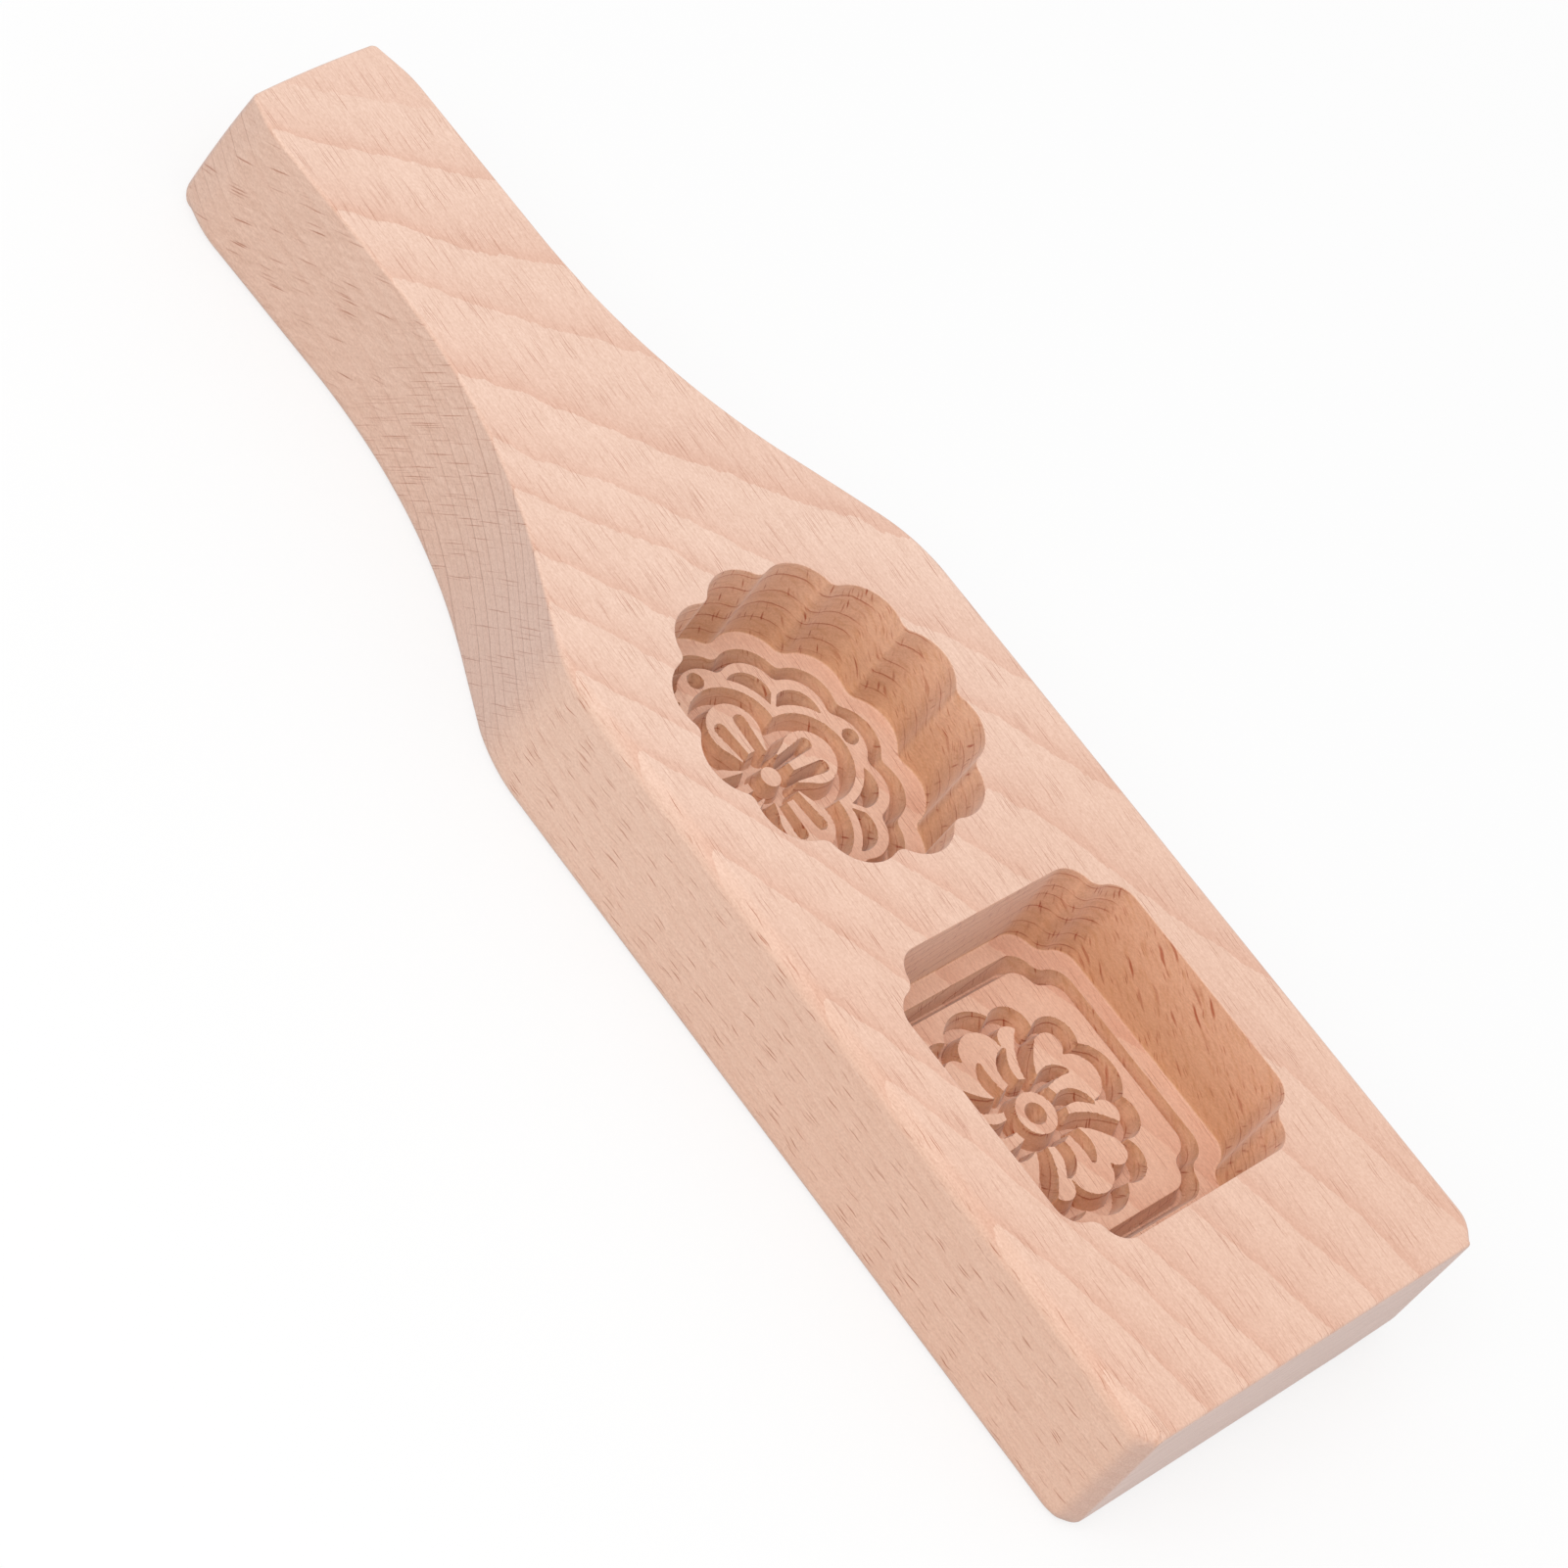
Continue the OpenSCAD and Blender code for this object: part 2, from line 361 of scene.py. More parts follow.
@dataclass(frozen=True)
class Relief:
    """Turns a flat cut into carved wood: walls that lean outward from a flat floor.

    Attributes:
        cut: The shape at the surface.
        depth: How deep the floor lies.
        foot: How far a wall's foot lies inside its rim.
        step: Distance between the points along the shape's outline.
        margin: How far beyond a wall's rim and foot the outline's points are still measured to.
        batch: Points measured at a time.
    """

    cut: Cut
    depth: float
    foot: float
    step: float = 0.06
    margin: float = 0.3
    batch: int = 1500

    def outline(self) -> np.ndarray:
        """Those points of the parts' outlines that bound the whole cut."""
        points = self.cut.edge(self.step)
        return points[np.abs(self.cut.value(points)) < ON_OUTLINE]

    def inside(self, p: np.ndarray, outline: np.ndarray) -> tuple[np.ndarray, np.ndarray]:
        """Measures how far points lie inside the cut.

        Far from the outline the cut's own value is enough; near it, the least distance to the outline's points is
        taken.

        Args:
            p: The points.
            outline: Points of the cut's outline.

        Returns:
            The distances, negative outside, and for each point the outline's nearest point.
        """
        value = self.cut.value(p)
        distance, nearest = -value, p.copy()
        near = np.flatnonzero((value > -self.foot - self.margin) & (value < self.margin))
        for part in np.array_split(near, max(1, len(near) // self.batch)):
            gap = (p[part] ** 2).sum(1)[:, None] + (outline**2).sum(1)[None] - 2 * p[part] @ outline.T
            best = gap.argmin(1)
            nearest[part] = outline[best]
            away = np.linalg.norm(p[part] - nearest[part], axis=1)
            distance[part] = np.where(value[part] < 0, away, -away)
        return distance, nearest

    def drop(self, inside: np.ndarray) -> np.ndarray:
        """How deep the surface lies at a distance inside the cut."""
        return self.depth * np.clip(inside / self.foot, 0, 1)


class Shade(Enum):
    """How the corners of a group of faces get their normals."""

    EVEN = "from the faces round each point"
    FLAT_UP = "straight up"
    FLAT_DOWN = "straight down"
    GIVEN = "from the surface's own formula"


@dataclass
class Skin:
    """Gathers points and faces of one closed surface, in millimetres.

    Attributes:
        points: Rows of points.
        carved: How far the wood at them is carved, row by row.
        faces: Groups of faces, by the numbers of their points.
        shades: How each group is shaded.
        given: Normals of the groups that bring their own.
        count: Points so far.
    """

    points: list[np.ndarray] = field(default_factory=list)
    carved: list[np.ndarray] = field(default_factory=list)
    faces: list[np.ndarray] = field(default_factory=list)
    shades: list[Shade] = field(default_factory=list)
    given: list[np.ndarray | None] = field(default_factory=list)
    count: int = 0

    def row(self, xy: np.ndarray, z: np.ndarray | float, carved: float = 0.0) -> np.ndarray:
        """Adds a row of points.

        Args:
            xy: Their places in plan.
            z: Their height, or one height for all.
            carved: 1 where the wood is carved, 0 where it is sawn and planed.

        Returns:
            Their numbers.
        """
        self.points.append(np.c_[xy, np.broadcast_to(z, len(xy))])
        self.carved.append(np.full(len(xy), carved))
        self.count += len(xy)
        return np.arange(self.count - len(xy), self.count)

    def add(self, faces: np.ndarray, shade: Shade, normals: np.ndarray | None = None) -> None:
        """Adds a group of faces.

        Args:
            faces: A row of point numbers for each face.
            shade: How the group is shaded.
            normals: Its corners' normals, if it brings its own.
        """
        self.faces.append(faces)
        self.shades.append(shade)
        self.given.append(normals)

    def band(self, a: np.ndarray, b: np.ndarray) -> None:
        """Joins two closed rows of equal length with quads that face left of the way from a to b."""
        self.add(np.c_[a, np.roll(a, -1), np.roll(b, -1), b], Shade.EVEN)

    def fill(self, loops: Sequence[np.ndarray], shade: Shade) -> None:
        """Fills a flat face between an outer loop and the holes in it.

        Args:
            loops: Numbers of the points of the outer loop, then of each hole.
            shade: Whether the face looks up or down.
        """
        at = np.concatenate(self.points)
        flat = np.concatenate(loops)
        made = np.array(tessellate_polygon([at[loop].tolist() for loop in loops]))
        faces = flat[made]
        a, b, c = (at[faces[:, i], :2] for i in range(3))
        turn = np.cross(b - a, c - a)
        sound = np.abs(turn) > SLIVER
        faces = faces[sound]
        up = (turn[sound] > 0) == (shade is Shade.FLAT_UP)
        faces[~up] = faces[~up, ::-1]
        self.add(faces, shade)

    def corner_normals(self) -> list[np.ndarray]:
        """Normals of all corners, group by group.

        An even corner takes the mean of the faces at its point, weighted by their area, so that large faces stay flat
        and the bend falls in the narrow ones between them.

        Returns:
            An array for each group of faces: face, corner, direction.
        """
        at = np.concatenate(self.points)
        total = np.zeros_like(at)
        for faces in self.faces:
            across = at[faces[:, 2]] - at[faces[:, 0]]
            other = at[faces[:, -1]] - at[faces[:, 1]]
            area = np.cross(across, other)
            for i in range(faces.shape[1]):
                np.add.at(total, faces[:, i], area)
        even = unit(total)
        result = []
        for faces, shade, given in zip(self.faces, self.shades, self.given):
            if shade is Shade.GIVEN:
                result.append(given)
            elif shade is Shade.EVEN:
                result.append(even[faces])
            else:
                up = 1.0 if shade is Shade.FLAT_UP else -1.0
                result.append(np.broadcast_to([0.0, 0.0, up], (*faces.shape, 3)))
        return result

    def mesh(self, name: str) -> bpy.types.Mesh:
        """Fills in a mesh.

        Args:
            name: The mesh's name.

        Returns:
            The mesh, in metres.
        """
        at = np.concatenate(self.points) * MM
        sizes = np.concatenate([np.full(len(f), f.shape[1]) for f in self.faces])
        corners = np.concatenate([f.ravel() for f in self.faces])
        mesh = bpy.data.meshes.new(name)
        mesh.vertices.add(len(at))
        mesh.vertices.foreach_set("co", at.ravel())
        mesh.loops.add(len(corners))
        mesh.loops.foreach_set("vertex_index", corners)
        mesh.polygons.add(len(sizes))
        mesh.polygons.foreach_set("loop_start", np.r_[0, np.cumsum(sizes)[:-1]])
        mesh.polygons.foreach_set("use_smooth", np.ones(len(sizes), bool))
        mesh.update(calc_edges=True)
        mesh.validate()
        mesh.attributes.new("carved", "FLOAT", "POINT").data.foreach_set("value", np.concatenate(self.carved))
        mesh.normals_split_custom_set(np.concatenate([n.reshape(-1, 3) for n in self.corner_normals()]))
        return mesh


@dataclass
class CarvedField:
    """The raised field at the bottom of a cavity.

    Rows of points shrink from its rim towards the centre, and are lowered where the wood is carved.

    Attributes:
        relief: The carving.
        pitch: Distance between the rows.
        halve_at: Distances from the centre at which every second point of a row is left out.
        pull: Share of a step within which a point moves onto a wall's rim or foot.
        tries: How often folded triangles are looked for.
        fold: Twice the area under which a triangle counts as folded.
        agree: Least cosine between a wall's formula and the triangle on it.
    """

    relief: Relief
    pitch: float = 0.2
    halve_at: tuple[float, ...] = (10.2, 5.1, 2.55)
    pull: float = 0.51
    tries: int = 6
    fold: float = 1e-5
    agree: float = 0.9

    def strides(self, reach: np.ndarray) -> np.ndarray:
        """How many of the rim's points lie between two points of a row at each distance from the centre."""
        return 2 ** (reach[:, None] < np.array(self.halve_at)).sum(1)

    def triangles(self, rows: list[np.ndarray], centre: int, z: np.ndarray) -> np.ndarray:
        """Joins the rows.

        Between rows of equal length each quad is split along the diagonal with the smaller step in height. Where a
        row has half the points of the one outside it, three triangles fill each of its steps.

        Args:
            rows: Numbers of the points of each row, from the rim inward.
            centre: Number of the point in the centre.
            z: Height of every point.

        Returns:
            The triangles, facing up.
        """
        made = []
        for a, b in zip(rows[:-1], rows[1:]):
            next_b = np.roll(b, -1)
            if len(a) == len(b):
                next_a = np.roll(a, -1)
                cross = (np.abs(z[a] - z[next_b]) <= np.abs(z[next_a] - z[b]))[:, None]
                made.append(np.where(cross, np.c_[a, next_a, next_b], np.c_[a, next_a, b]))
                made.append(np.where(cross, np.c_[a, next_b, b], np.c_[next_a, next_b, b]))
            else:
                start, middle, end = a[::2], a[1::2], np.roll(a[::2], -1)
                made += [np.c_[start, middle, b], np.c_[middle, next_b, b], np.c_[middle, end, next_b]]
        last = rows[-1]
        made.append(np.c_[last, np.roll(last, -1), np.full(len(last), centre)])
        return np.concatenate(made)

    def build(self, skin: Skin, rim: np.ndarray, offset: np.ndarray, top: float) -> None:
        """Adds the field to a skin.

        Points within half a step of a wall's rim or foot move onto it, so that both edges come out crisp; the others
        stay on the grid. A move that would fold a triangle over is taken back.

        Args:
            skin: The skin, which has the rim's points already.
            rim: Numbers of the points round the field, counter-clockwise.
            offset: Place of the cavity's centre in plan.
            top: Height of the field.
        """
        edge = np.concatenate(skin.points)[rim, :2] - offset
        reach = np.linalg.norm(edge, axis=1).mean()
        scales = np.linspace(1, 0, int(round(reach / self.pitch)) + 1)[1:-1]
        strides = self.strides(scales * reach)
        plan = [edge] + [edge[::n] * s for s, n in zip(scales, strides)]
        step = [np.linalg.norm(np.roll(row, -1, 0) - np.roll(row, 1, 0), axis=1) / 2 for row in plan]
        grid, across = np.concatenate(plan + [np.zeros((1, 2))]), np.r_[np.concatenate(step), 0]
        starts = np.r_[0, np.cumsum([len(row) for row in plan])]
        rows = [np.arange(a, b) for a, b in zip(starts[:-1], starts[1:])]

        relief = self.relief
        outline = relief.outline()
        inside, nearest = relief.inside(grid, outline)
        normal = unit(grid - nearest) * np.sign(inside)[:, None]
        radial = unit(grid)
        along_r = np.abs((normal * radial).sum(1))
        tangent = np.c_[-radial[:, 1], radial[:, 0]]
        along_t = np.abs((normal * tangent).sum(1))
        half = self.pull * np.maximum(along_r * self.pitch, along_t * across)
        half[rows[0]] = 0
        to_rim = np.abs(inside) < half
        to_foot = ~to_rim & (np.abs(inside - relief.foot) < half)

        for _ in range(self.tries):
            place, depth = grid.copy(), inside.copy()
            place[to_rim], depth[to_rim] = nearest[to_rim], 0
            place[to_foot] = nearest[to_foot] + normal[to_foot] * relief.foot
            depth[to_foot] = relief.foot
            z = top - relief.drop(depth)
            faces = self.triangles(rows, len(grid) - 1, z)
            a, b, c = (place[faces[:, i]] for i in range(3))
            folded = np.unique(faces[np.cross(b - a, c - a) <= self.fold])
            if not (to_rim[folded] | to_foot[folded]).any():
                break
            to_rim[folded] = to_foot[folded] = False
        log.info("field: %d points, %d triangles, %d folded", len(grid), len(faces), len(folded))

        numbers = np.r_[rim, skin.row(place[len(rim) :] + offset, z[len(rim) :], 1.0)]
        skin.add(numbers[faces], Shade.GIVEN, self.normals(faces, np.c_[place, z], depth, normal))

    def normals(self, faces: np.ndarray, at: np.ndarray, depth: np.ndarray, inward: np.ndarray) -> np.ndarray:
        """Normals of the field's corners from the carving's formula.

        The field and the floors look straight up. A wall falls by depth over foot along the inward direction, so its
        normal is that slope times the direction, and one upward. A corner whose formula disagrees with the triangle
        takes the triangle's own normal.

        Args:
            faces: The triangles.
            at: Places of the points.
            depth: How far inside the cut each point lies.
            inward: Direction into the cut at each point.

        Returns:
            An array: face, corner, direction.
        """
        relief = self.relief
        a, b, c = (at[faces[:, i]] for i in range(3))
        own = unit(np.cross(b - a, c - a))[:, None]
        slope = relief.depth / relief.foot
        wall = unit(np.c_[inward * slope, np.ones(len(at))])[faces]
        deep = depth[faces]
        flat = (deep <= HAIR).all(1) | (deep >= relief.foot - HAIR).all(1)
        result = np.where((wall * own).sum(2, keepdims=True) > self.agree, wall, own)
        result[flat] = (0, 0, 1)
        return result


@dataclass
class Cavity(ABC):
    """A cavity that shapes one cake: a steep wall, a ledge, a channel, and a raised field with a carved flower.

    Attributes:
        x: Place of its rim's centre along the board.
        y: Place of that centre across the board.
        drift: How far the raised field lies off the rim's centre, along and across.
        depth: From the board's face to the ledge.
        carving: How deep the channel and the grooves go.
        foot: How far the foot of a carved wall lies inside its rim.
        ease: Radius that softens the rim.
        draft: How far the foot of the cavity's wall lies inside its rim.
        fillet: Radius at the foot of that wall.
        crisp: Radius that breaks the edges of the channel.
        broken: Shares of that radius by which a broken edge lies in at its middle and at its end.
        bend_rows: Rows of points round a quarter circle of the section.
        ledge: Inner edge of the ledge, as a share of the rim.
        raised: Edge of the raised field, as a share of the rim.
        count: Points round the rim.
    """

    x: float
    y: float
    drift: Pair
    depth: float = 15.4
    carving: float = 3.0
    foot: float = 0.776
    ease: float = 0.16
    draft: float = 0.26
    fillet: float = 0.4
    crisp: float = 0.12
    broken: Pair = (0.3, 0.25)
    bend_rows: int = 6
    ledge: float = 0.87
    raised: float = 0.775
    count: int = 512

    @abstractmethod
    def rim(self) -> np.ndarray:
        """The rim about the cavity's centre, counter-clockwise."""

    @abstractmethod
    def flower(self) -> Cut:
        """The carved flower about the cavity's centre."""

    def profile(self, top: float) -> list[Triple]:
        """The cavity's section from the board's face to the raised field.

        Args:
            top: Height of the board's face.

        Returns:
            For each row its share of the rim, how far it lies inside that copy of the rim, and its height.
        """
        floor = top - self.depth
        bed = floor - self.carving
        bend = np.radians(np.linspace(0, 90, self.bend_rows))
        quarter = list(zip(np.sin(bend), np.cos(bend)))
        foot_in = self.draft - self.fillet
        middle, low = (share * self.crisp for share in self.broken)
        rows = [(1.0, -self.ease * (1 - s), top - self.ease * (1 - c)) for s, c in quarter]
        rows += [(1.0, foot_in + self.fillet * (2 - c), floor + self.fillet * (1 - s)) for s, c in quarter]
        rows += [
            (self.ledge, -self.crisp, floor),
            (self.ledge, -middle, floor - middle),
            (self.ledge, low, floor - self.crisp),
            (self.ledge, self.foot, bed),
            (self.raised, -self.foot, bed),
            (self.raised, -low, floor - self.crisp),
            (self.raised, middle, floor - middle),
            (self.raised, self.crisp, floor),
        ]
        return rows

    def build(self, skin: Skin, top: float) -> np.ndarray:
        """Adds the cavity to a skin.

        The rim is carried down the section: each row is a copy of the rim, shrunk about the centre, moved along its
        own normal, and drifting towards the raised field's centre as it shrinks.

        Args:
            skin: The skin.
            top: Height of the board's face.

        Returns:
            Numbers of the points of the rim.
        """
        rim, normal = self.rim(), outward(self.rim())
        centre, drift = np.array([self.x, self.y]), np.array(self.drift)
        rows = []
        for share, inset, z in self.profile(top):
            offset = centre + drift * (1 - share) / (1 - self.raised)
            carved = min(1.0, (top - z) / self.ease)
            rows.append(skin.row(rim * share - normal * inset + offset, z, carved))
        for a, b in zip(rows[:-1], rows[1:]):
            skin.band(a, b)
        relief = Relief(self.flower(), self.carving, self.foot)
        CarvedField(relief).build(skin, rows[-1], centre + drift, top - self.depth)
        return rows[0]


@dataclass
class RoundCavity(Cavity):
    """The round cavity, with twelve lobes and a flower of four round petals.

    Attributes:
        lobes: Lobes of the rim.
        tip_r: Largest radius of the rim.
        lobe_r: Radius of a lobe.
        soften: How far the notches between lobes are rounded.
        turns: Directions of the petals.
        beside: Directions of the two crescents after each petal.
    """

    x: float = 4.5
    y: float = 0.885
    drift: Pair = (-0.25, -0.5)
    lobes: int = 12
    tip_r: float = 23.1
    lobe_r: float = 6.2
    soften: float = 2.0
    turns: tuple[float, ...] = (0, 90, 180, 270)
    beside: Pair = (28.5, 61.5)

    def rim(self) -> np.ndarray:
        """A ring of lobes.

        In a direction d away from a lobe's middle the lobe reaches c cos d + sqrt(r2 - c2 sin2 d), with c the
        distance to its centre. The reach of the two lobes nearest is joined by a smooth maximum, which rounds the
        notch.

        Returns:
            The rim's points, at even angles.
        """
        angle = np.arange(self.count) / self.count * 2 * np.pi
        wide = 2 * np.pi / self.lobes
        centre = self.tip_r - self.lobe_r
        near = (angle + wide / 2) % wide - wide / 2
        both = np.stack([near, wide - np.abs(near)])
        under = np.maximum(self.lobe_r**2 - (centre * np.sin(both)) ** 2, 0)
        reach = centre * np.cos(both) + np.sqrt(under)
        mix = np.clip(0.5 + 0.5 * (reach[0] - reach[1]) / self.soften, 0, 1)
        r = reach[1] * (1 - mix) + reach[0] * mix + self.soften * mix * (1 - mix)
        return np.c_[r * np.cos(angle), r * np.sin(angle)]

    def flower(self) -> Cut:
        """Four petals in round wells about a button, eight crescents in the lobes between them, and four dots.

        Returns:
            All that is cut away.
        """
        four, wide = self.turns, 360 / self.lobes
        well = Turns(Disc(7.5, 0, 7.0), four)
        recess, button = Disc(0, 0, 4.1), Disc(0, 0, 1.5)
        head = Disc(7.85, 0, 4.1)
        body = Facet(((3.3, -2.35), (7.0, -4.0), (7.0, 4.0), (3.3, 2.35)))
        slot = Stroke(((3.3, 1.35, 1.6), (8.65, 1.88, 1.95)))
        slots = slot | Stroke(((3.3, -1.35, 1.6), (8.65, -1.88, 1.95)))
        petals = Turns((head | body) - slots - recess, four)
        rib = Turns(Disc(7.6, 0, 8.2), four)
        bar = Facet(((8, -0.38), (20, -0.38), (20, 0.38), (8, 0.38)))
        bars = Turns(bar, tuple(wide / 2 + wide * k for k in range(self.lobes)))
        lobes = Turns(Disc(12.6, 0, 3.7), tuple(turn + more for turn in four for more in self.beside))
        dots = Turns(Disc(16.1, 0, 1.28), four)
        return ((well | recess) - button - petals) | (lobes - rib - bars) | dots


@dataclass
class SquareCavity(Cavity):
    """The square cavity, whose corners turn in to a round notch, with a flower of four whirling petals.

    Attributes:
        half: Half the cavity's width.
        turn_at: Where the sides' lines turn in.
        notch_at: Where the notch would have its corner.
        turn_r: Radius where a side turns in.
        notch_r: Radius of the notch.
        turns: Turns of the petals and of the rim's corners.
        gap: Largest distance from the rim's arcs to their chords.
        run: Longest step on the rim's straights.
    """

    x: float = 60.0
    y: float = 0.385
    drift: Pair = (0.0, 0.0)
    half: float = 23.0
    turn_at: float = 17.4
    notch_at: float = 18.6
    turn_r: float = 3.8
    notch_r: float = 2.4
    turns: tuple[float, ...] = (0, 90, 180, 270)
    gap: float = 0.002
    run: float = 0.5

    def rim(self) -> np.ndarray:
        """The notched square: three rounded corners a quarter.

        Returns:
            The rim's points, at even distances.
        """
        quarter = np.array([[self.half, self.turn_at], [self.notch_at, self.notch_at], [self.turn_at, self.half]])
        corners = np.concatenate([turned(quarter, a) for a in self.turns])
        radii = np.tile([self.turn_r, self.notch_r, self.turn_r], len(self.turns))
        return spread(rounded_loop(np.c_[corners, radii], self.gap, self.run), self.count)

    def flower(self) -> Cut:
        """Four petals with three lobes each about a ring, in a groove with scallops; all lean the same way round.

        The petal drawn is the one towards the right side of the board; the others are turned copies.

        Returns:
            All that is cut away.
        """
        four = self.turns
        scallops = Disc(-7.15, 10.9, 3.5) | Disc(-0.6, 11.15, 5.3) | Disc(5.65, 11.2, 3.45)
        groove = Turns(scallops, four) | Disc(0, 0, 12.4)
        lobes = Stroke(((-6.75, 9.35, 4.1), (-5.9, 7.4, 4.6))) | Disc(-1.3, 9.85, 3.6) | Disc(4.6, 9.9, 2.05)
        petals = Turns(lobes, four) | Disc(0, 0, 10.0)
        between = Stroke(((3.2, 3.9, 2.1), (3.9, 6.0, 2.4), (5.1, 7.7, 2.75), (6.6, 9.2, 2.9), (8.2, 10.4, 2.9)))
        slot = Stroke(((-3.1, 4.4, 1.9), (-3.55, 7.2, 2.0), (-2.85, 9.0, 0.9)))
        slots = slot | Stroke(((0.35, 4.4, 1.8), (0.35, 7.2, 2.05), (2.35, 9.2, 0.8)))
        recess, ring, hole = Disc(0, 0, 5.05), Disc(0, 0, 3.15), Disc(0, -0.15, 1.65)
        gouged = Turns(between | slots, four) & groove
        return (groove - petals) | gouged | (recess - ring) | hole


@dataclass
class Board:
    """The board: a paddle with a slim handle and a wide blade, both cavities sunk in its face.

    Attributes:
        half_length: Half the whole length.
        thickness: Thickness.
        far_side: Corners of the far side's outline from the blade's end to the handle's: x, y, radius.
        near_side: Corners of the near side's outline from the handle's end to the blade's.
        low_r: Radius of the lower edge along the sides.
        low_tight: Radius of the lower edge elsewhere.
        low_end_r: Radius of the lower edge across the blade's end.
        low_handle_r: Radius of the lower edge across the handle's end.
        low_corner: How much larger the radius across the blade's end gets at its far corner.
        low_corner_at: Where, across the board, it starts to grow, and where it is full.
        long_side: How far across a normal looks where the outline starts to count as a side, and where it does.
        slim_r: Radius of the handle's upper edges.
        near_r: Radius of the blade's near upper edge.
        far_r: Radius of the blade's far upper edge.
        end_r: Radius of the upper edges across both ends.
        corner_r: How much larger the near edge's radius gets at the blade's end.
        corner_run: Distances from that end at which it starts to grow, and at which it is full.
        end_side: How far along a normal looks where the outline starts to count as an end, and where it does.
        end_run: Distance from the ends within which it may.
        widen: Where the long edges' rounding starts to grow, and where it is full.
        dome: How far the handle's end falls back half a thickness above its foremost point.
        dome_at: Height of that point.
        bow: How far it falls back to the side of that point, at the distance of bow_run.
        bow_at: Where that point lies across the board.
        bow_run: That distance.
        handle_fade: Distance from the handle's end over which its dome fades out.
        blade_fade: Distances from the blade's end at which its rounding starts, and at which it is full.
        gap: Largest distance from the outline's arcs to their chords.
        run: Longest step on the outline's straights.
        rows: Rows of points on the side, and as many round each edge.
        cavities: The cavities.
    """

    half_length: float = 106.4
    thickness: float = 22.5
    far_side: tuple[Triple, ...] = (
        (106.4, 32.1, 1.2),
        (103.4, 34.8, 4.5),
        (-11.13, 34.39, 24.86),
        (-48.94, 14.12, 93.7),
        (-99.61, 13.6, 20.0),
        (-106.4, 11.75, 1.0),
    )
    near_side: tuple[Triple, ...] = (
        (-106.4, -12.0, 1.1),
        (-100.12, -13.62, 20.0),
        (-51.09, -12.74, 92.36),
        (-16.05, -31.66, 22.9),
        (104.0, -34.845, 4.0),
        (106.15, -32.845, 0.8),
    )
    low_r: float = 1.35
    low_tight: float = 0.7
    low_end_r: float = 2.5
    low_handle_r: float = 2.6
    low_corner: float = 1.5
    low_corner_at: Pair = (18.0, 34.0)
    long_side: Pair = (0.8, 0.99)
    slim_r: float = 0.5
    near_r: float = 2.1
    far_r: float = 1.0
    end_r: float = 0.55
    corner_r: float = 0.7
    corner_run: Pair = (14.0, 3.0)
    end_side: Pair = (0.55, 0.95)
    end_run: float = 4.0
    widen: Pair = (-26.0, -4.0)
    dome: float = 0.28
    dome_at: float = 4.0
    bow: float = 0.25
    bow_at: float = 9.4
    bow_run: float = 12.0
    handle_fade: float = 14.0
    blade_fade: Pair = (10.0, 1.0)
    gap: float = 0.004
    run: float = 2.0
    rows: int = 9
    cavities: tuple[Cavity, ...] = field(default_factory=lambda: (RoundCavity(), SquareCavity()))

    def edge_radius(self, loop: np.ndarray, normal: np.ndarray) -> np.ndarray:
        """Radius of the upper edge at each point of the outline.

        Args:
            loop: The outline.
            normal: Its outward normals.

        Returns:
            The radii: small on the handle, growing over the shoulders, small again across the ends.
        """
        x, y = loop.T
        starts, full = (self.half_length - away for away in self.corner_run)
        corner = self.corner_r * smooth_step(starts, full, x)
        wide = np.where(y < 0, self.near_r + corner, self.far_r)
        along = self.slim_r + (wide - self.slim_r) * smooth_step(*self.widen, x)
        at_end = np.abs(x) > self.half_length - self.end_run
        across = smooth_step(*self.end_side, np.abs(normal[:, 0])) * at_end
        return along + (self.end_r - along) * across

    def set_back(self, loop: np.ndarray, z: np.ndarray) -> np.ndarray:
        """How far the two ends fall back from their outline, as a shift along the board.

        The handle's end is domed: it falls back with the squares of the height above its foremost point and of the
        distance to the side of it. Both ends are rounded underneath to a quarter circle. The shifts fade out along
        the board, so that the corners follow.

        Args:
            loop: The outline.
            z: Height at each of its points.

        Returns:
            The shift at each point.
        """
        x, y = loop.T
        at_handle = smooth_step(-self.half_length + self.handle_fade, -self.half_length, x)
        starts, full = (self.half_length - away for away in self.blade_fade)
        at_blade = smooth_step(starts, full, x)
        dome = self.dome * (2 * (z - self.dome_at) / self.thickness) ** 2
        bow = self.bow * ((y - self.bow_at) / self.bow_run) ** 2
        low_end_r = self.low_end_r + self.low_corner * smooth_step(*self.low_corner_at, y)
        handle_back = dome + bow + self.undercut(self.low_handle_r, z)
        return handle_back * at_handle - self.undercut(low_end_r, z) * at_blade

    def undercut(self, r: np.ndarray | float, z: np.ndarray) -> np.ndarray:
        """How far a lower edge of radius r lies back at the height z: a quarter circle up to r, none above."""
        short = np.clip(r - z, 0, r)
        return r - np.sqrt(r * r - short * short)

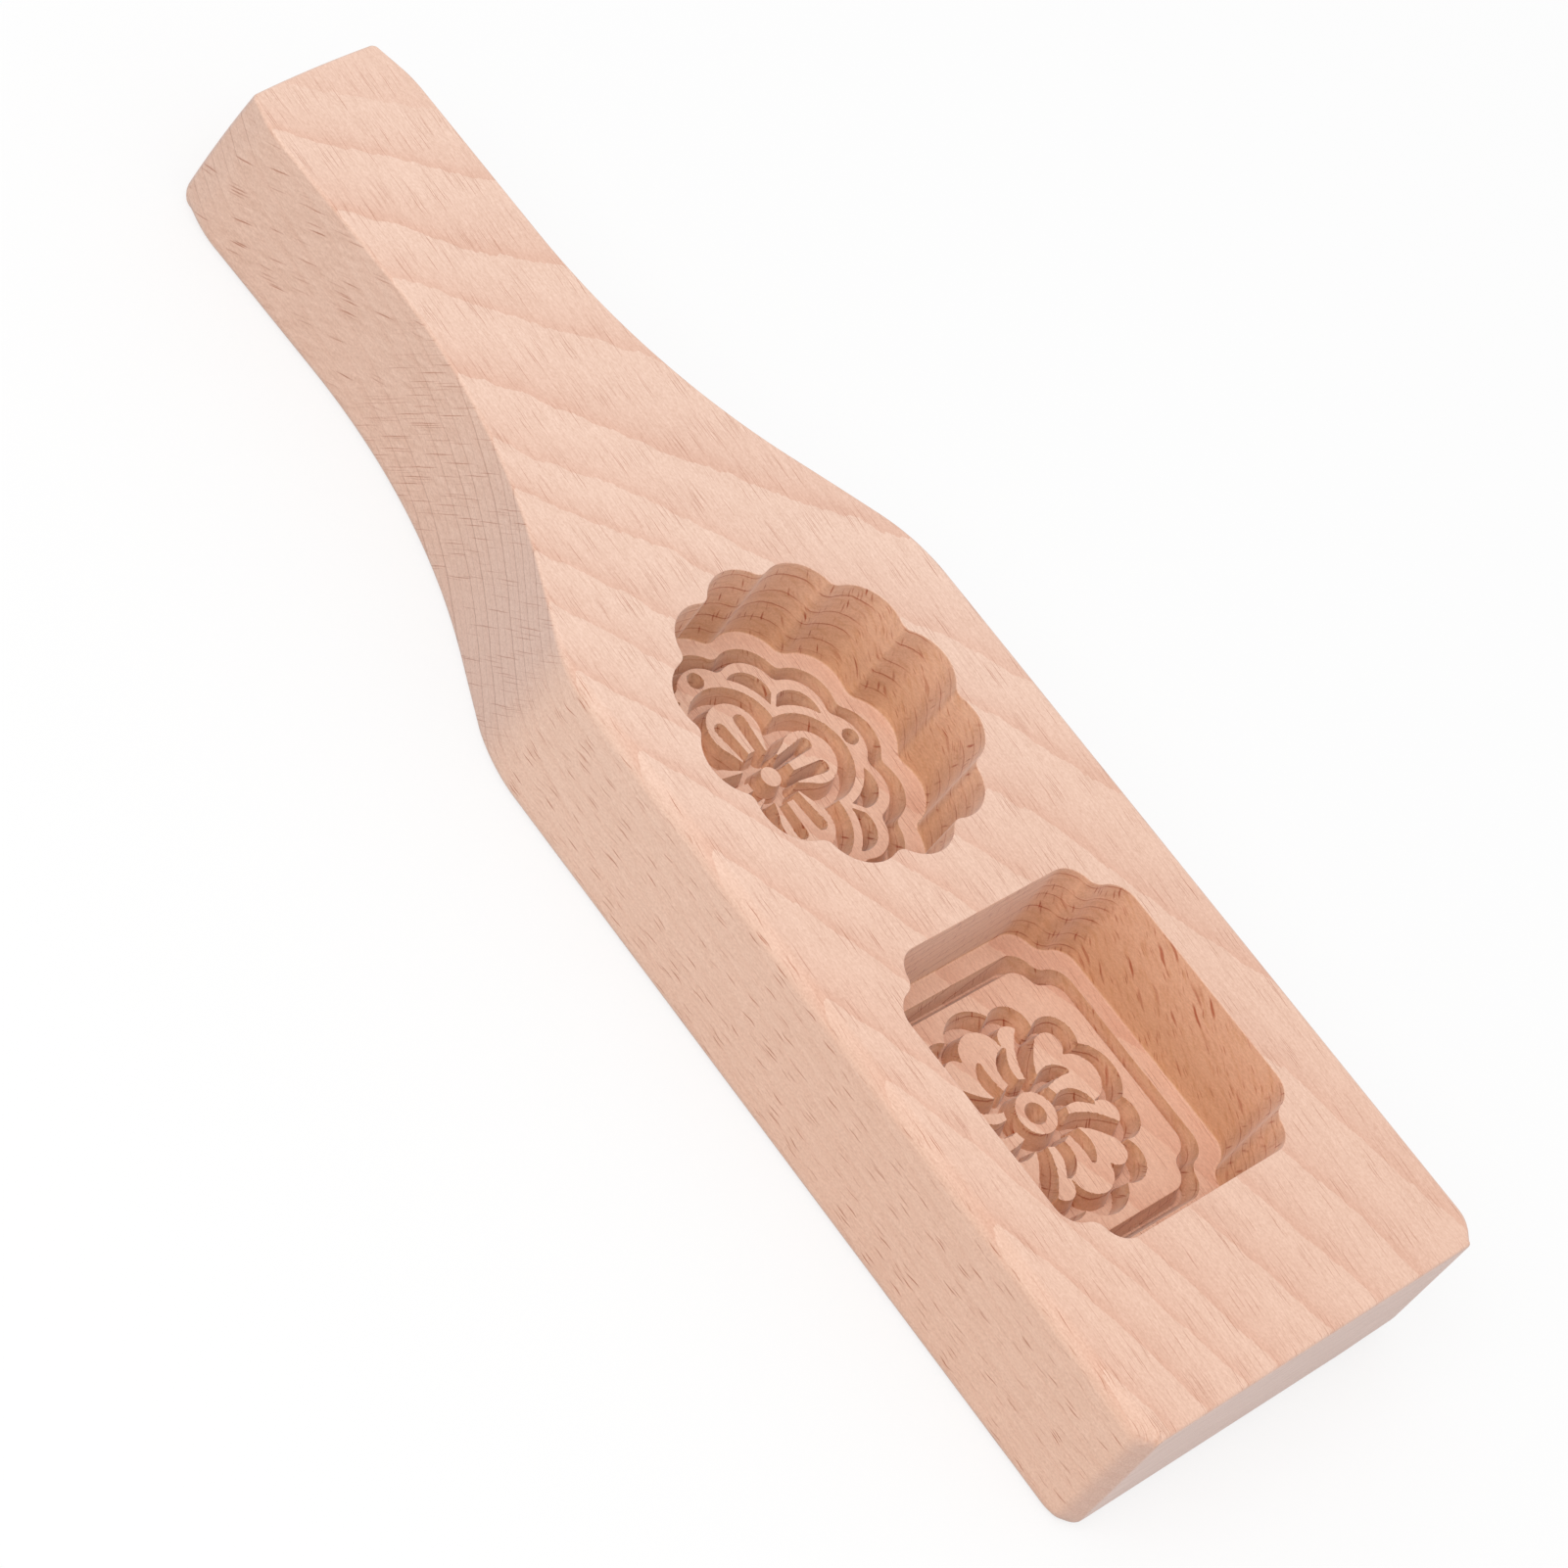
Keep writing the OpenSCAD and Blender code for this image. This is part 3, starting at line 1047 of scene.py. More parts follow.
    def build(self) -> bpy.types.Object:
        """Builds the board.

        The outline is carried up a section that is rounded below and above; flat faces close it, the upper one with
        the two rims as holes.

        Returns:
            The object.
        """
        skin = Skin()
        loop = rounded_loop(np.array(self.far_side + self.near_side), self.gap, self.run)
        normal = outward(loop)
        upper_r = self.edge_radius(loop, normal)
        bend = np.radians(np.linspace(0, 90, self.rows))
        deepest = self.low_end_r + self.low_corner
        levels = [np.full(len(loop), z) for z in deepest * (1 - np.cos(bend))]
        shares = np.linspace(0, 1, self.rows)[1:-1]
        levels += [deepest + (self.thickness - upper_r - deepest) * share for share in shares]
        on_side = smooth_step(*self.long_side, np.abs(normal[:, 1]))
        lower_r = self.low_tight + (self.low_r - self.low_tight) * on_side
        rows = [(self.undercut(lower_r, z), z) for z in levels]
        rows += [
            (upper_r * (1 - c), self.thickness - upper_r * (1 - s)) for s, c in zip(np.sin(bend), np.cos(bend))
        ]
        numbers = []
        for inset, z in rows:
            back = np.c_[self.set_back(loop, z), np.zeros(len(loop))]
            numbers.append(skin.row(loop - normal * inset[:, None] + back, z))
        for a, b in zip(numbers[:-1], numbers[1:]):
            skin.band(a, b)
        skin.fill([numbers[0]], Shade.FLAT_DOWN)
        rims = [cavity.build(skin, self.thickness) for cavity in self.cavities]
        skin.fill([numbers[-1], *rims], Shade.FLAT_UP)
        piece = bpy.data.objects.new("mold", skin.mesh("mold"))
        bpy.context.scene.collection.objects.link(piece)
        return piece


class Sketch:
    """Draws a node tree from short calls; every call returns the socket that carries its result."""

    def __init__(self, tree: bpy.types.NodeTree) -> None:
        """Starts on a tree that has no nodes of use yet."""
        self.tree = tree

    def node(self, kind: str, **settings: object) -> bpy.types.Node:
        """Adds a node.

        Args:
            kind: The node's type.
            settings: Properties to set on it.

        Returns:
            The node.
        """
        made = self.tree.nodes.new(kind)
        for name, value in settings.items():
            setattr(made, name, value)
        return made

    def feed(self, socket: Socket, value: object) -> None:
        """Feeds a socket.

        Args:
            socket: The socket.
            value: A socket to link to it, or the plain value that it keeps.
        """
        if isinstance(value, bpy.types.NodeSocket):
            self.tree.links.new(value, socket)
        else:
            socket.default_value = value

    def fed(self, made: bpy.types.Node, *values: object) -> bpy.types.Node:
        """Feeds a node's inputs in order.

        Args:
            made: The node.
            values: What its first inputs get.

        Returns:
            The node.
        """
        for socket, value in zip(made.inputs, values):
            self.feed(socket, value)
        return made

    def math(self, operation: str, *values: object) -> Socket:
        """One step of arithmetic."""
        return self.fed(self.node("ShaderNodeMath", operation=operation), *values).outputs[0]

    def total(self, *values: object) -> Socket:
        """The sum of several values."""
        return reduce(lambda a, b: self.math("ADD", a, b), values)

    def product(self, *values: object) -> Socket:
        """The product of several values."""
        return reduce(lambda a, b: self.math("MULTIPLY", a, b), values)

    def rest(self, share: Socket) -> Socket:
        """What a share leaves of one."""
        return self.math("SUBTRACT", 1.0, share)

    def dot(self, vector: Socket, direction: Triple) -> Socket:
        """How far a vector goes along a direction."""
        made = self.node("ShaderNodeVectorMath", operation="DOT_PRODUCT")
        return self.fed(made, vector, direction).outputs["Value"]

    def shift(self, vector: Socket, by: Socket) -> Socket:
        """The sum of two vectors."""
        return self.fed(self.node("ShaderNodeVectorMath", operation="ADD"), vector, by).outputs[0]

    def stretch(self, vector: Socket, scale: Triple) -> Socket:
        """A vector scaled along its axes."""
        return self.fed(self.node("ShaderNodeVectorMath", operation="MULTIPLY"), vector, scale).outputs[0]

    def parts(self, vector: Socket) -> tuple[Socket, ...]:
        """The three parts of a vector."""
        return tuple(self.fed(self.node("ShaderNodeSeparateXYZ"), vector).outputs)

    def join(self, x: object, y: object, z: object) -> Socket:
        """A vector of three values."""
        return self.fed(self.node("ShaderNodeCombineXYZ"), x, y, z).outputs[0]

    def noise(self, vector: Socket, detail: float, rough: float) -> Socket:
        """Soft noise about zero, half up and half down.

        Args:
            vector: Where to read it.
            detail: How many finer steps it has.
            rough: How strong those are.

        Returns:
            The noise.
        """
        made = self.node("ShaderNodeTexNoise")
        for name, value in (("Vector", vector), ("Scale", 1.0), ("Detail", detail), ("Roughness", rough)):
            self.feed(made.inputs[name], value)
        return self.math("SUBTRACT", made.outputs["Fac"], 0.5)

    def rise(self, value: Socket, low: object, high: object) -> Socket:
        """Runs smoothly from 0 to 1.

        Args:
            value: Where to read it.
            low: Where it is 0.
            high: Where it is 1, which may be below low.

        Returns:
            The result.
        """
        made = self.node("ShaderNodeMapRange", interpolation_type="SMOOTHSTEP")
        for name, fed in (("Value", value), ("From Min", low), ("From Max", high)):
            self.feed(made.inputs[name], fed)
        return made.outputs["Result"]

    def mix(self, share: object, a: object, b: object, blend: str = "MIX") -> Socket:
        """Mixes two colours.

        Args:
            share: How much of the second.
            a: The first colour.
            b: The second colour.
            blend: How the second goes over the first.

        Returns:
            The mixed colour.
        """
        made = self.node("ShaderNodeMix", data_type="RGBA", blend_type=blend)
        self.feed(made.inputs["Factor"], share)
        first, second = (socket for socket in made.inputs if socket.type == "RGBA")
        self.feed(first, a)
        self.feed(second, b)
        return next(socket for socket in made.outputs if socket.type == "RGBA")

    def curve(self, value: Socket, points: Sequence[Pair]) -> Socket:
        """A curve of straight pieces.

        Args:
            value: Where to read it, 0 to 1.
            points: Its corners, the first at 0 and the last at 1.

        Returns:
            The curve's height.
        """
        made = self.node("ShaderNodeFloatCurve")
        line = made.mapping.curves[0]
        line.points[0].location, line.points[-1].location = points[0], points[-1]
        for corner in points[1:-1]:
            line.points.new(*corner)
        for point in line.points:
            point.handle_type = "VECTOR"
        made.mapping.update()
        self.feed(made.inputs["Value"], value)
        return made.outputs[0]


@dataclass(frozen=True)
class RayCut:
    """How rays show on one kind of face.

    Attributes:
        along: The direction that they run in.
        across: The direction across them.
        size: Sizes of the cell that holds one ray, along, across and below.
        gone: Distance from the cell's middle, in cells, at which the ray is gone.
        full: Distance at which it is full.
        strength: How dark rays are.
        missing: Share of cells without a ray.
        stagger: How far along each row of cells lies off the next one, in cells.
    """

    along: Triple
    across: Triple
    size: Triple
    gone: float
    full: float
    strength: float
    missing: float = 0.0
    stagger: float = 0.0


class Cutting(Enum):
    """Kinds of face, by how they cut the rays."""

    TOP = RayCut((0.996, -0.087, 0), (0.087, 0.996, 0), (9.0, 0.17, 18.0), 0.36, 0.06, 0.9)
    SIDE = RayCut((1, 0, 0), (0, 0, 1), (5.4, 0.36, 10.0), 0.33, 0.08, 0.95)
    NECK = RayCut((0.6, 0, 0.8), (0.8, 0, -0.6), (10.0, 0.25, 12.0), 0.37, 0.12, 0.75, stagger=0.62)
    HANDLE = RayCut((0.864, 0, 0.504), (0.504, 0, -0.864), (6.5, 0.45, 12.0), 0.36, 0.10, 0.8, 0.4)
    CROSS = RayCut((0.147, -0.22, 0.964), (0, 0.975, 0.223), (3.2, 0.34, 9.0), 0.38, 0.10, 0.9)
    WALL = RayCut((0.87, 0, -0.5), (0.5, 0, 0.87), (2.8, 0.45, 8.0), 0.38, 0.08, 0.6)
    KNIFE = RayCut((0.87, 0, -0.5), (0.5, 0, 0.87), (7.5, 1.1, 20.0), 0.30, 0.14, 0.8, 0.1)


@dataclass(frozen=True)
class Pattern:
    """A soft pattern in the wood.

    Attributes:
        scale: Its scale along three directions, per millimetre.
        detail: How many finer steps it has.
        strength: How much it changes what it acts on.
        rough: How strong the finer steps are.
    """

    scale: Triple
    detail: float
    strength: float = 1.0
    rough: float = 0.5

    def draw(self, sketch: Sketch, at: Socket) -> Socket:
        """The pattern about zero, before its strength."""
        return sketch.noise(sketch.stretch(at, self.scale), self.detail, self.rough)


@dataclass(frozen=True)
class Faces:
    """Which wood a point of the board's skin belongs to, as shares of 0 to 1.

    Attributes:
        carved: Carved wood.
        plain: Sawn and planed wood.
        flat: Faces that look up or down.
        upright: All others.
        slant: Those upright ones that cut the fibres.
        flank: Those upright ones that follow the fibres.
        lined: Those upright ones that show the years' last lines, which start where fibres are barely cut.
        end: The planed ends.
        handle: The handle.
        tail: The handle's half with its end.
    """

    carved: Socket
    plain: Socket
    flat: Socket
    upright: Socket
    slant: Socket
    flank: Socket
    lined: Socket
    end: Socket
    handle: Socket
    tail: Socket


@dataclass(frozen=True)
class Beech:
    """Pale beech, planed, carved and handled.

    A pair named for a place holds where something starts and where it is full.

    Attributes:
        light: Wood early in a year's growth.
        dark: Wood late in it.
        line: The thin line where the year ends, where fibres are cut across.
        fleck: The rays on planed wood.
        scar: The rays on carved wood.
        slant: Tint where the fibres are cut at a slant.
        flank: Tint of the long sides.
        grip: Painted shade: a further, darker tint of the handle's sides.
        blade: Tint of the blade's wood, from nearer the heart.
        end: End grain.
        end_share: How far the end grain hides the years.
        wall: Tint of the upright walls in the cavities: partly the fresh cut's warmer tone, partly painted shade.
        deep_wall_shade: Painted shade: a further tint at the foot of those walls.
        cross_wall_and_shade: Further tint of those walls that cut the fibres: partly their end-grain tone, partly
            painted shade.
        bed: Tint of the carved floors, above one: painted light that lightens them.
        stain: Tint of darker patches on those walls.
        mottle: How much the fine mottling changes red, green and blue.
        lift: How much lighter the mottling is on the whole.
        rough: Roughness of the planed face.
        rough_fibre: How much the fibres change it.
        rough_end: How much rougher the ends are.
        gloss: Level of the mirror-like part of the light.
        sheen: Strength of the fibres' sheen, which shows at grazing angles.
        sheen_rough: Roughness of that sheen.
        relief: Strength of the fine relief of pores and fibres.
        relief_depth: Its depth, in metres.
        pore: How deep planed rays lie in it.
        scar_pore: How deep carved ones lie, as a share of that.
        flat_at: How far up a normal looks on flat faces.
        slant_at: How far along the board it looks where fibres are cut.
        lined_at: How far along the board it looks where the years' last lines show.
        end_at: How far along the board it looks on the ends.
        handle_at: Where the handle starts, along the board.
        tail_at: Where the handle's half with its end starts.
        heart_at: Where the blade's tint starts.
        deep_shade_at: Height at which the painted shade at the foot of a wall starts.
        low_at: Height at which that painted shade weakens again.
        low_share: How much of it is left below.
        stain_at: Where in their pattern the darker patches start.
        swell: How a year darkens: stretches of the year, and what each adds.
        year_at: Share of the year at which its last line starts.
        half_at: Share of half a year at which a weaker line starts.
        half_line: How much weaker that is.
        end_line: How much weaker lines are on the ends.
        line_strength: How dark the lines are.
        year_scar: How dark they are on carved wood.
        calm: How much fainter the years show on upright faces.
        sheet: The sheets that rings lie in: factors of x, y, x squared, x times y and y squared, next to z.
        slow: Slow waves of those sheets.
        quick: Quick waves of them.
        bend: Waves of the fibres.
        bend_across: How much of those goes across the board.
        fibre: Streaks along the fibres.
        speckle: Fine speckles.
        cloud: Wide clouds.
        ripple: Streaks on the handle's sides and on walls that cut the fibres.
        streak: Level streaks on the ends.
        patch: Darker patches on the walls.
        rings: Where each year ends: the value of the ring field, and how dark the year gets there.
    """

    light: tuple[int, int, int] = (244, 206, 185)
    dark: tuple[int, int, int] = (233, 186, 163)
    line: tuple[int, int, int] = (182, 136, 116)
    fleck: tuple[int, int, int] = (182, 110, 80)
    scar: tuple[int, int, int] = (186, 90, 48)
    slant: Triple = (0.86, 0.87, 0.915)
    flank: Triple = (1.0, 0.985, 0.965)
    grip: Triple = (0.94, 0.925, 0.925)
    blade: Triple = (0.972, 0.922, 0.89)
    end: tuple[int, int, int] = (239, 202, 187)
    end_share: float = 0.7
    wall: Triple = (0.985, 0.915, 0.785)
    deep_wall_shade: Triple = (0.88, 0.87, 0.79)
    cross_wall_and_shade: Triple = (0.86, 0.825, 0.815)
    bed: Triple = (1.04, 1.035, 1.01)
    stain: Triple = (0.91, 0.84, 0.75)
    mottle: Triple = (0.7, 1.0, 1.2)
    lift: float = 0.02
    rough: float = 0.62
    rough_fibre: float = 0.2
    rough_end: float = 0.1
    gloss: float = 0.12
    sheen: float = 0.5
    sheen_rough: float = 0.5
    relief: float = 0.15
    relief_depth: float = 0.0003
    pore: float = -0.5
    scar_pore: float = 0.4
    flat_at: Pair = (0.3, 0.9)
    slant_at: Pair = (0.15, 0.6)
    lined_at: Pair = (-0.05, 0.4)
    end_at: Pair = (0.8, 0.97)
    handle_at: Pair = (-12.0, -24.0)
    tail_at: Pair = (-60.0, -72.0)
    heart_at: Pair = (-20.0, 60.0)
    deep_shade_at: Pair = (20.0, 8.0)
    low_at: Pair = (5.5, 7.5)
    low_share: float = 0.25
    stain_at: Pair = (-0.05, 0.25)
    swell: tuple[tuple[Pair, float], ...] = (((0.2, 0.97), 0.6), ((0.78, 0.97), 0.4))
    year_at: Pair = (0.9, 0.97)
    half_at: Pair = (0.82, 0.95)
    half_line: float = 0.4
    end_line: float = 0.6
    line_strength: float = 0.65
    year_scar: float = 0.8
    calm: float = 0.7
    sheet: tuple[float, ...] = (0.14844, -0.22515, -4.026e-4, -8.193e-4, 1.2244e-3)
    slow: Pattern = Pattern((0.03, 0.06, 0.06), 1.0)
    quick: Pattern = Pattern((0.15, 0.5, 0.5), 3.0, 0.6, 0.6)
    bend: Pattern = Pattern((0.3, 0.3, 0.3), 1.0)
    bend_across: float = 0.4
    fibre: Pattern = Pattern((0.12, 3.0, 3.0), 3.0, 0.3)
    speckle: Pattern = Pattern((2.6, 5.0, 5.0), 2.0, 0.5)
    cloud: Pattern = Pattern((0.03, 0.05, 0.05), 2.0, 0.08)
    ripple: Pattern = Pattern((0.25, 1.4, 0.0), 2.0, 0.35)
    streak: Pattern = Pattern((0.0, 0.12, 1.6), 3.0, 0.5)
    patch: Pattern = Pattern((0.3, 1.3, 0.0), 3.0)
    rings: tuple[Pair, ...] = (
        (-24.0, 0.5), (-21.4, 0.7), (-19.0, 0.5), (-16.3, 0.6), (-13.9, 0.7), (-11.2, 0.5), (-8.4, 0.6), (-5.6, 0.6),
        (-2.7, 0.8), (0.7, 0.8), (3.4, 0.3), (5.95, 0.8), (9.1, 0.9), (11.65, 0.7), (15.2, 0.9), (17.85, 0.7),
        (19.7, 0.8), (22.5, 0.8), (24.9, 0.7), (27.7, 0.8), (30.2, 0.8), (33.0, 0.8), (36.6, 0.8), (38.7, 0.7),
        (41.5, 0.8), (44.35, 0.7), (47.0, 0.6),
    )  # fmt: skip

    def faces(self, sketch: Sketch, at: Socket, normal: Socket) -> Faces:
        """Tells the kinds of wood apart by their place and by where their face looks.

        Args:
            sketch: The material's tree.
            at: The point, in millimetres.
            normal: The direction that its face looks in.

        Returns:
            The shares.
        """
        x, _, _ = sketch.parts(at)
        along, _, up = (sketch.math("ABSOLUTE", part) for part in sketch.parts(normal))
        carved = sketch.node("ShaderNodeAttribute", attribute_name="carved").outputs["Fac"]
        plain = sketch.rest(carved)
        flat = sketch.rise(up, *self.flat_at)
        upright = sketch.rest(flat)
        slant = sketch.product(upright, sketch.rise(along, *self.slant_at))
        flank = sketch.math("SUBTRACT", upright, slant)
        lined = sketch.product(upright, sketch.rise(along, *self.lined_at))
        end = sketch.product(plain, sketch.rise(along, *self.end_at))
        handle, tail = (sketch.rise(x, *place) for place in (self.handle_at, self.tail_at))
        return Faces(carved, plain, flat, upright, slant, flank, lined, end, handle, tail)

    def years(self, sketch: Sketch, at: Socket) -> tuple[Socket, Socket]:
        """Where a point lies in the years of growth.

        The rings are bent sheets. A polynomial in the point's place, found from the lines that the rings draw on the
        board, is the same all over one sheet; a curve turns it into a count of years, because years differ in width.

        Args:
            sketch: The material's tree.
            at: The point, in millimetres.

        Returns:
            How much of its year has passed, 0 to 1, and how dark that year gets.
        """
        x, y, z = sketch.parts(at)
        terms = ((x,), (y,), (x, x), (x, y), (y, y))
        height = sketch.total(
            z,
            *(sketch.product(*term, factor) for term, factor in zip(terms, self.sheet)),
            *(sketch.product(wave.draw(sketch, at), wave.strength) for wave in (self.slow, self.quick)),
        )
        low, high = self.rings[0][0], self.rings[-1][0]
        last = len(self.rings) - 1
        share = sketch.math("DIVIDE", sketch.math("SUBTRACT", height, low), high - low)
        places = [(value - low) / (high - low) for value, _ in self.rings]
        count = sketch.curve(share, [(p, i / last) for i, p in enumerate(places)])
        depth = sketch.curve(share, [(p, dark) for p, (_, dark) in zip(places, self.rings)])
        return sketch.math("FRACT", sketch.product(count, float(last))), depth

    def grown(self, sketch: Sketch, faces: Faces, phase: Socket, depth: Socket) -> Socket:
        """The wood's colour from its years: it darkens over each, with a line at the end.

        Args:
            sketch: The material's tree.
            faces: The kinds of wood.
            phase: How much of the year has passed.
            depth: How dark the year gets.

        Returns:
            The colour.
        """
        calm = sketch.math("MULTIPLY_ADD", faces.upright, -self.calm, 1.0)
        swell = sketch.total(*(sketch.product(sketch.rise(phase, *place), share) for place, share in self.swell))
        colour = sketch.mix(sketch.product(swell, depth, calm), linear(*self.light), linear(*self.dark))
        half = sketch.math("FRACT", sketch.product(phase, 2.0))
        weaker = sketch.product(sketch.rise(half, *self.half_at), self.half_line)
        line = sketch.math("MAXIMUM", sketch.rise(phase, *self.year_at), weaker)
        shown = sketch.math("MAXIMUM", faces.handle, sketch.product(faces.end, self.end_line))
        line = sketch.product(line, depth, faces.lined, faces.plain, shown, self.line_strength)
        return sketch.mix(line, colour, linear(*self.line))

    def ray_group(self) -> bpy.types.NodeTree:
        """Builds the group that cuts rays into spindles.

        Cells drawn out along the grain each hold one spindle, which fades out away from the cell's middle.

        Returns:
            The group: place, in cells, and three numbers in; how dark the ray is, 0 to 1, out.
        """
        tree = bpy.data.node_groups.new("rays", "ShaderNodeTree")
        tree.interface.new_socket("Place", in_out="INPUT", socket_type="NodeSocketVector")
        for name in ("Gone", "Full", "Missing"):
            tree.interface.new_socket(name, in_out="INPUT", socket_type="NodeSocketFloat")
        tree.interface.new_socket("Ray", in_out="OUTPUT", socket_type="NodeSocketFloat")
        sketch = Sketch(tree)
        inputs = sketch.node("NodeGroupInput").outputs
        place, gone, full, missing = (inputs[name] for name in ("Place", "Gone", "Full", "Missing"))
        cell = sketch.node("ShaderNodeTexVoronoi", voronoi_dimensions="3D", feature="F1")
        sketch.feed(cell.inputs["Vector"], place)
        sketch.feed(cell.inputs["Scale"], 1.0)
        chance = sketch.fed(sketch.node("ShaderNodeSeparateColor"), cell.outputs["Color"]).outputs[0]
        ray = sketch.product(sketch.rise(cell.outputs["Distance"], gone, full), sketch.rise(chance, missing, 1.0))
        sketch.fed(sketch.node("NodeGroupOutput"), ray)
        return tree

    def rays(self, sketch: Sketch, group: bpy.types.NodeTree, at: Socket, cut: RayCut) -> Socket:
        """The rays as one kind of face shows them.

        Args:
            sketch: The material's tree.
            group: The group that cuts rays into spindles.
            at: The point, in millimetres.
            cut: How that face cuts them.

        Returns:
            How dark the ray is, 0 to the cut's strength.
        """
        ways = (cut.along, cut.across, tuple(float(part) for part in np.cross(cut.along, cut.across)))
        along, across, below = (sketch.product(sketch.dot(at, way), 1 / size) for way, size in zip(ways, cut.size))
        place = sketch.join(sketch.math("MULTIPLY_ADD", across, cut.stagger, along), across, below)
        made = sketch.fed(sketch.node("ShaderNodeGroup", node_tree=group), place, cut.gone, cut.full, cut.missing)
        return sketch.product(made.outputs[0], cut.strength)

    def flecks(
        self, sketch: Sketch, faces: Faces, bent: Socket, phase: Socket, depth: Socket
    ) -> tuple[Socket, Socket]:
        """Lays the rays on the faces that show them.

        Args:
            sketch: The material's tree.
            faces: The kinds of wood.
            bent: The point among the waving fibres, in millimetres.
            phase: How much of the year has passed.
            depth: How dark the year gets.

        Returns:
            How dark the rays are on planed wood, and how dark rays and years are on carved wood.
        """
        group = self.ray_group()
        rays = {cutting: self.rays(sketch, group, bent, cutting.value) for cutting in Cutting}
        blade, neck = sketch.rest(faces.handle), sketch.product(faces.handle, sketch.rest(faces.tail))
        fleck = sketch.total(
            sketch.product(rays[Cutting.TOP], faces.flat),
            sketch.product(rays[Cutting.SIDE], faces.flank, faces.plain, blade),
            sketch.product(rays[Cutting.NECK], faces.upright, faces.plain, neck),
            sketch.product(rays[Cutting.HANDLE], faces.upright, faces.plain, faces.tail),
        )
        year = sketch.rise(phase, *self.year_at)
        scar = sketch.total(
            sketch.product(rays[Cutting.WALL], faces.flank, faces.carved),
            sketch.product(rays[Cutting.KNIFE], faces.flank, faces.carved),
            sketch.product(rays[Cutting.CROSS], faces.slant, faces.carved),
            sketch.product(year, depth, faces.slant, faces.carved, self.year_scar),
        )
        return fleck, scar

    def face_pattern(self, sketch: Sketch, bent: Socket, cut: RayCut, pattern: Pattern) -> Socket:
        """A pattern laid out along the two directions of a cut."""
        along, across = sketch.dot(bent, cut.along), sketch.dot(bent, cut.across)
        return pattern.draw(sketch, sketch.join(along, across, 0.0))

    def tinted(self, sketch: Sketch, colour: Socket, tints: Sequence[tuple[Socket, Triple]]) -> Socket:
        """Multiplies a colour by tints.

        Args:
            sketch: The material's tree.
            colour: The colour.
            tints: Where each tint goes, as a share, and the tint.

        Returns:
            The tinted colour.
        """
        for share, tint in tints:
            colour = sketch.mix(share, colour, (*tint, 1.0), "MULTIPLY")
        return colour

    def planed(self, sketch: Sketch, faces: Faces, at: Socket, colour: Socket) -> Socket:
        """Tints the planed wood, with painted shade on the handle's sides, and covers its ends with end grain.

        Args:
            sketch: The material's tree.
            faces: The kinds of wood.
            at: The point, in millimetres.
            colour: The wood's colour so far.

        Returns:
            The colour.
        """
        x, _, _ = sketch.parts(at)
        tints = (
            (sketch.rise(x, *self.heart_at), self.blade),
            (sketch.product(faces.slant, faces.plain), self.slant),
            (sketch.product(faces.upright, faces.plain), self.flank),
            # Painted shade: the handle's sides are darkened.
            (sketch.product(faces.flank, faces.plain, faces.handle), self.grip),
        )
        colour = self.tinted(sketch, colour, tints)
        return sketch.mix(sketch.product(faces.end, self.end_share), colour, linear(*self.end))

    def carved(self, sketch: Sketch, faces: Faces, at: Socket, bent: Socket, colour: Socket) -> Socket:
        """Tints the walls and floors of the cavities, with painted shade on the walls and painted light on the
        floors.

        Args:
            sketch: The material's tree.
            faces: The kinds of wood.
            at: The point, in millimetres.
            bent: The point among the waving fibres.
            colour: The wood's colour so far.

        Returns:
            The colour.
        """
        _, _, z = sketch.parts(at)
        wall = sketch.product(faces.upright, faces.carved)
        # Painted shade: the walls darken downwards, and less so on the carved flower's low walls.
        weaker = sketch.math("MULTIPLY_ADD", sketch.rise(z, *self.low_at), 1 - self.low_share, self.low_share)
        foot = sketch.product(sketch.rise(z, *self.deep_shade_at), weaker)
        patch = self.face_pattern(sketch, bent, Cutting.WALL.value, self.patch)
        tints = (
            # Partly the carved walls' own warmer tone, partly painted shade.
            (wall, self.wall),
            # Painted shade towards the foot of the walls.
            (sketch.product(wall, foot), self.deep_wall_shade),
            (sketch.product(wall, sketch.rise(patch, *self.stain_at)), self.stain),
            # Partly the end-grain tone of these walls, partly painted shade.
            (sketch.product(wall, faces.slant), self.cross_wall_and_shade),
            # Painted light: the carved floors are lightened.
            (sketch.product(faces.flat, faces.carved), self.bed),
        )
        return self.tinted(sketch, colour, tints)

    def mottled(
        self, sketch: Sketch, faces: Faces, at: Socket, bent: Socket, fibre: Socket, colour: Socket
    ) -> Socket:
        """Mottles the wood's colour.

        Args:
            sketch: The material's tree.
            faces: The kinds of wood.
            at: The point, in millimetres.
            bent: The point among the waving fibres.
            fibre: The streaks along the fibres.
            colour: The wood's colour so far.

        Returns:
            The colour.
        """
        grip = sketch.product(faces.flank, faces.handle, faces.plain)
        rippled = sketch.math("MAXIMUM", grip, sketch.product(faces.slant, faces.carved))
        ripple = self.face_pattern(sketch, bent, Cutting.HANDLE.value, self.ripple)
        tone = sketch.total(
            self.lift,
            sketch.product(fibre, self.fibre.strength),
            sketch.product(self.speckle.draw(sketch, at), self.speckle.strength),
            sketch.product(self.cloud.draw(sketch, at), self.cloud.strength),
            sketch.product(ripple, rippled, self.ripple.strength),
            sketch.product(self.streak.draw(sketch, at), faces.end, self.streak.strength),
        )
        tones = [sketch.math("MULTIPLY_ADD", tone, share, 1.0) for share in self.mottle]
        return sketch.mix(1.0, colour, sketch.join(*tones), "MULTIPLY")

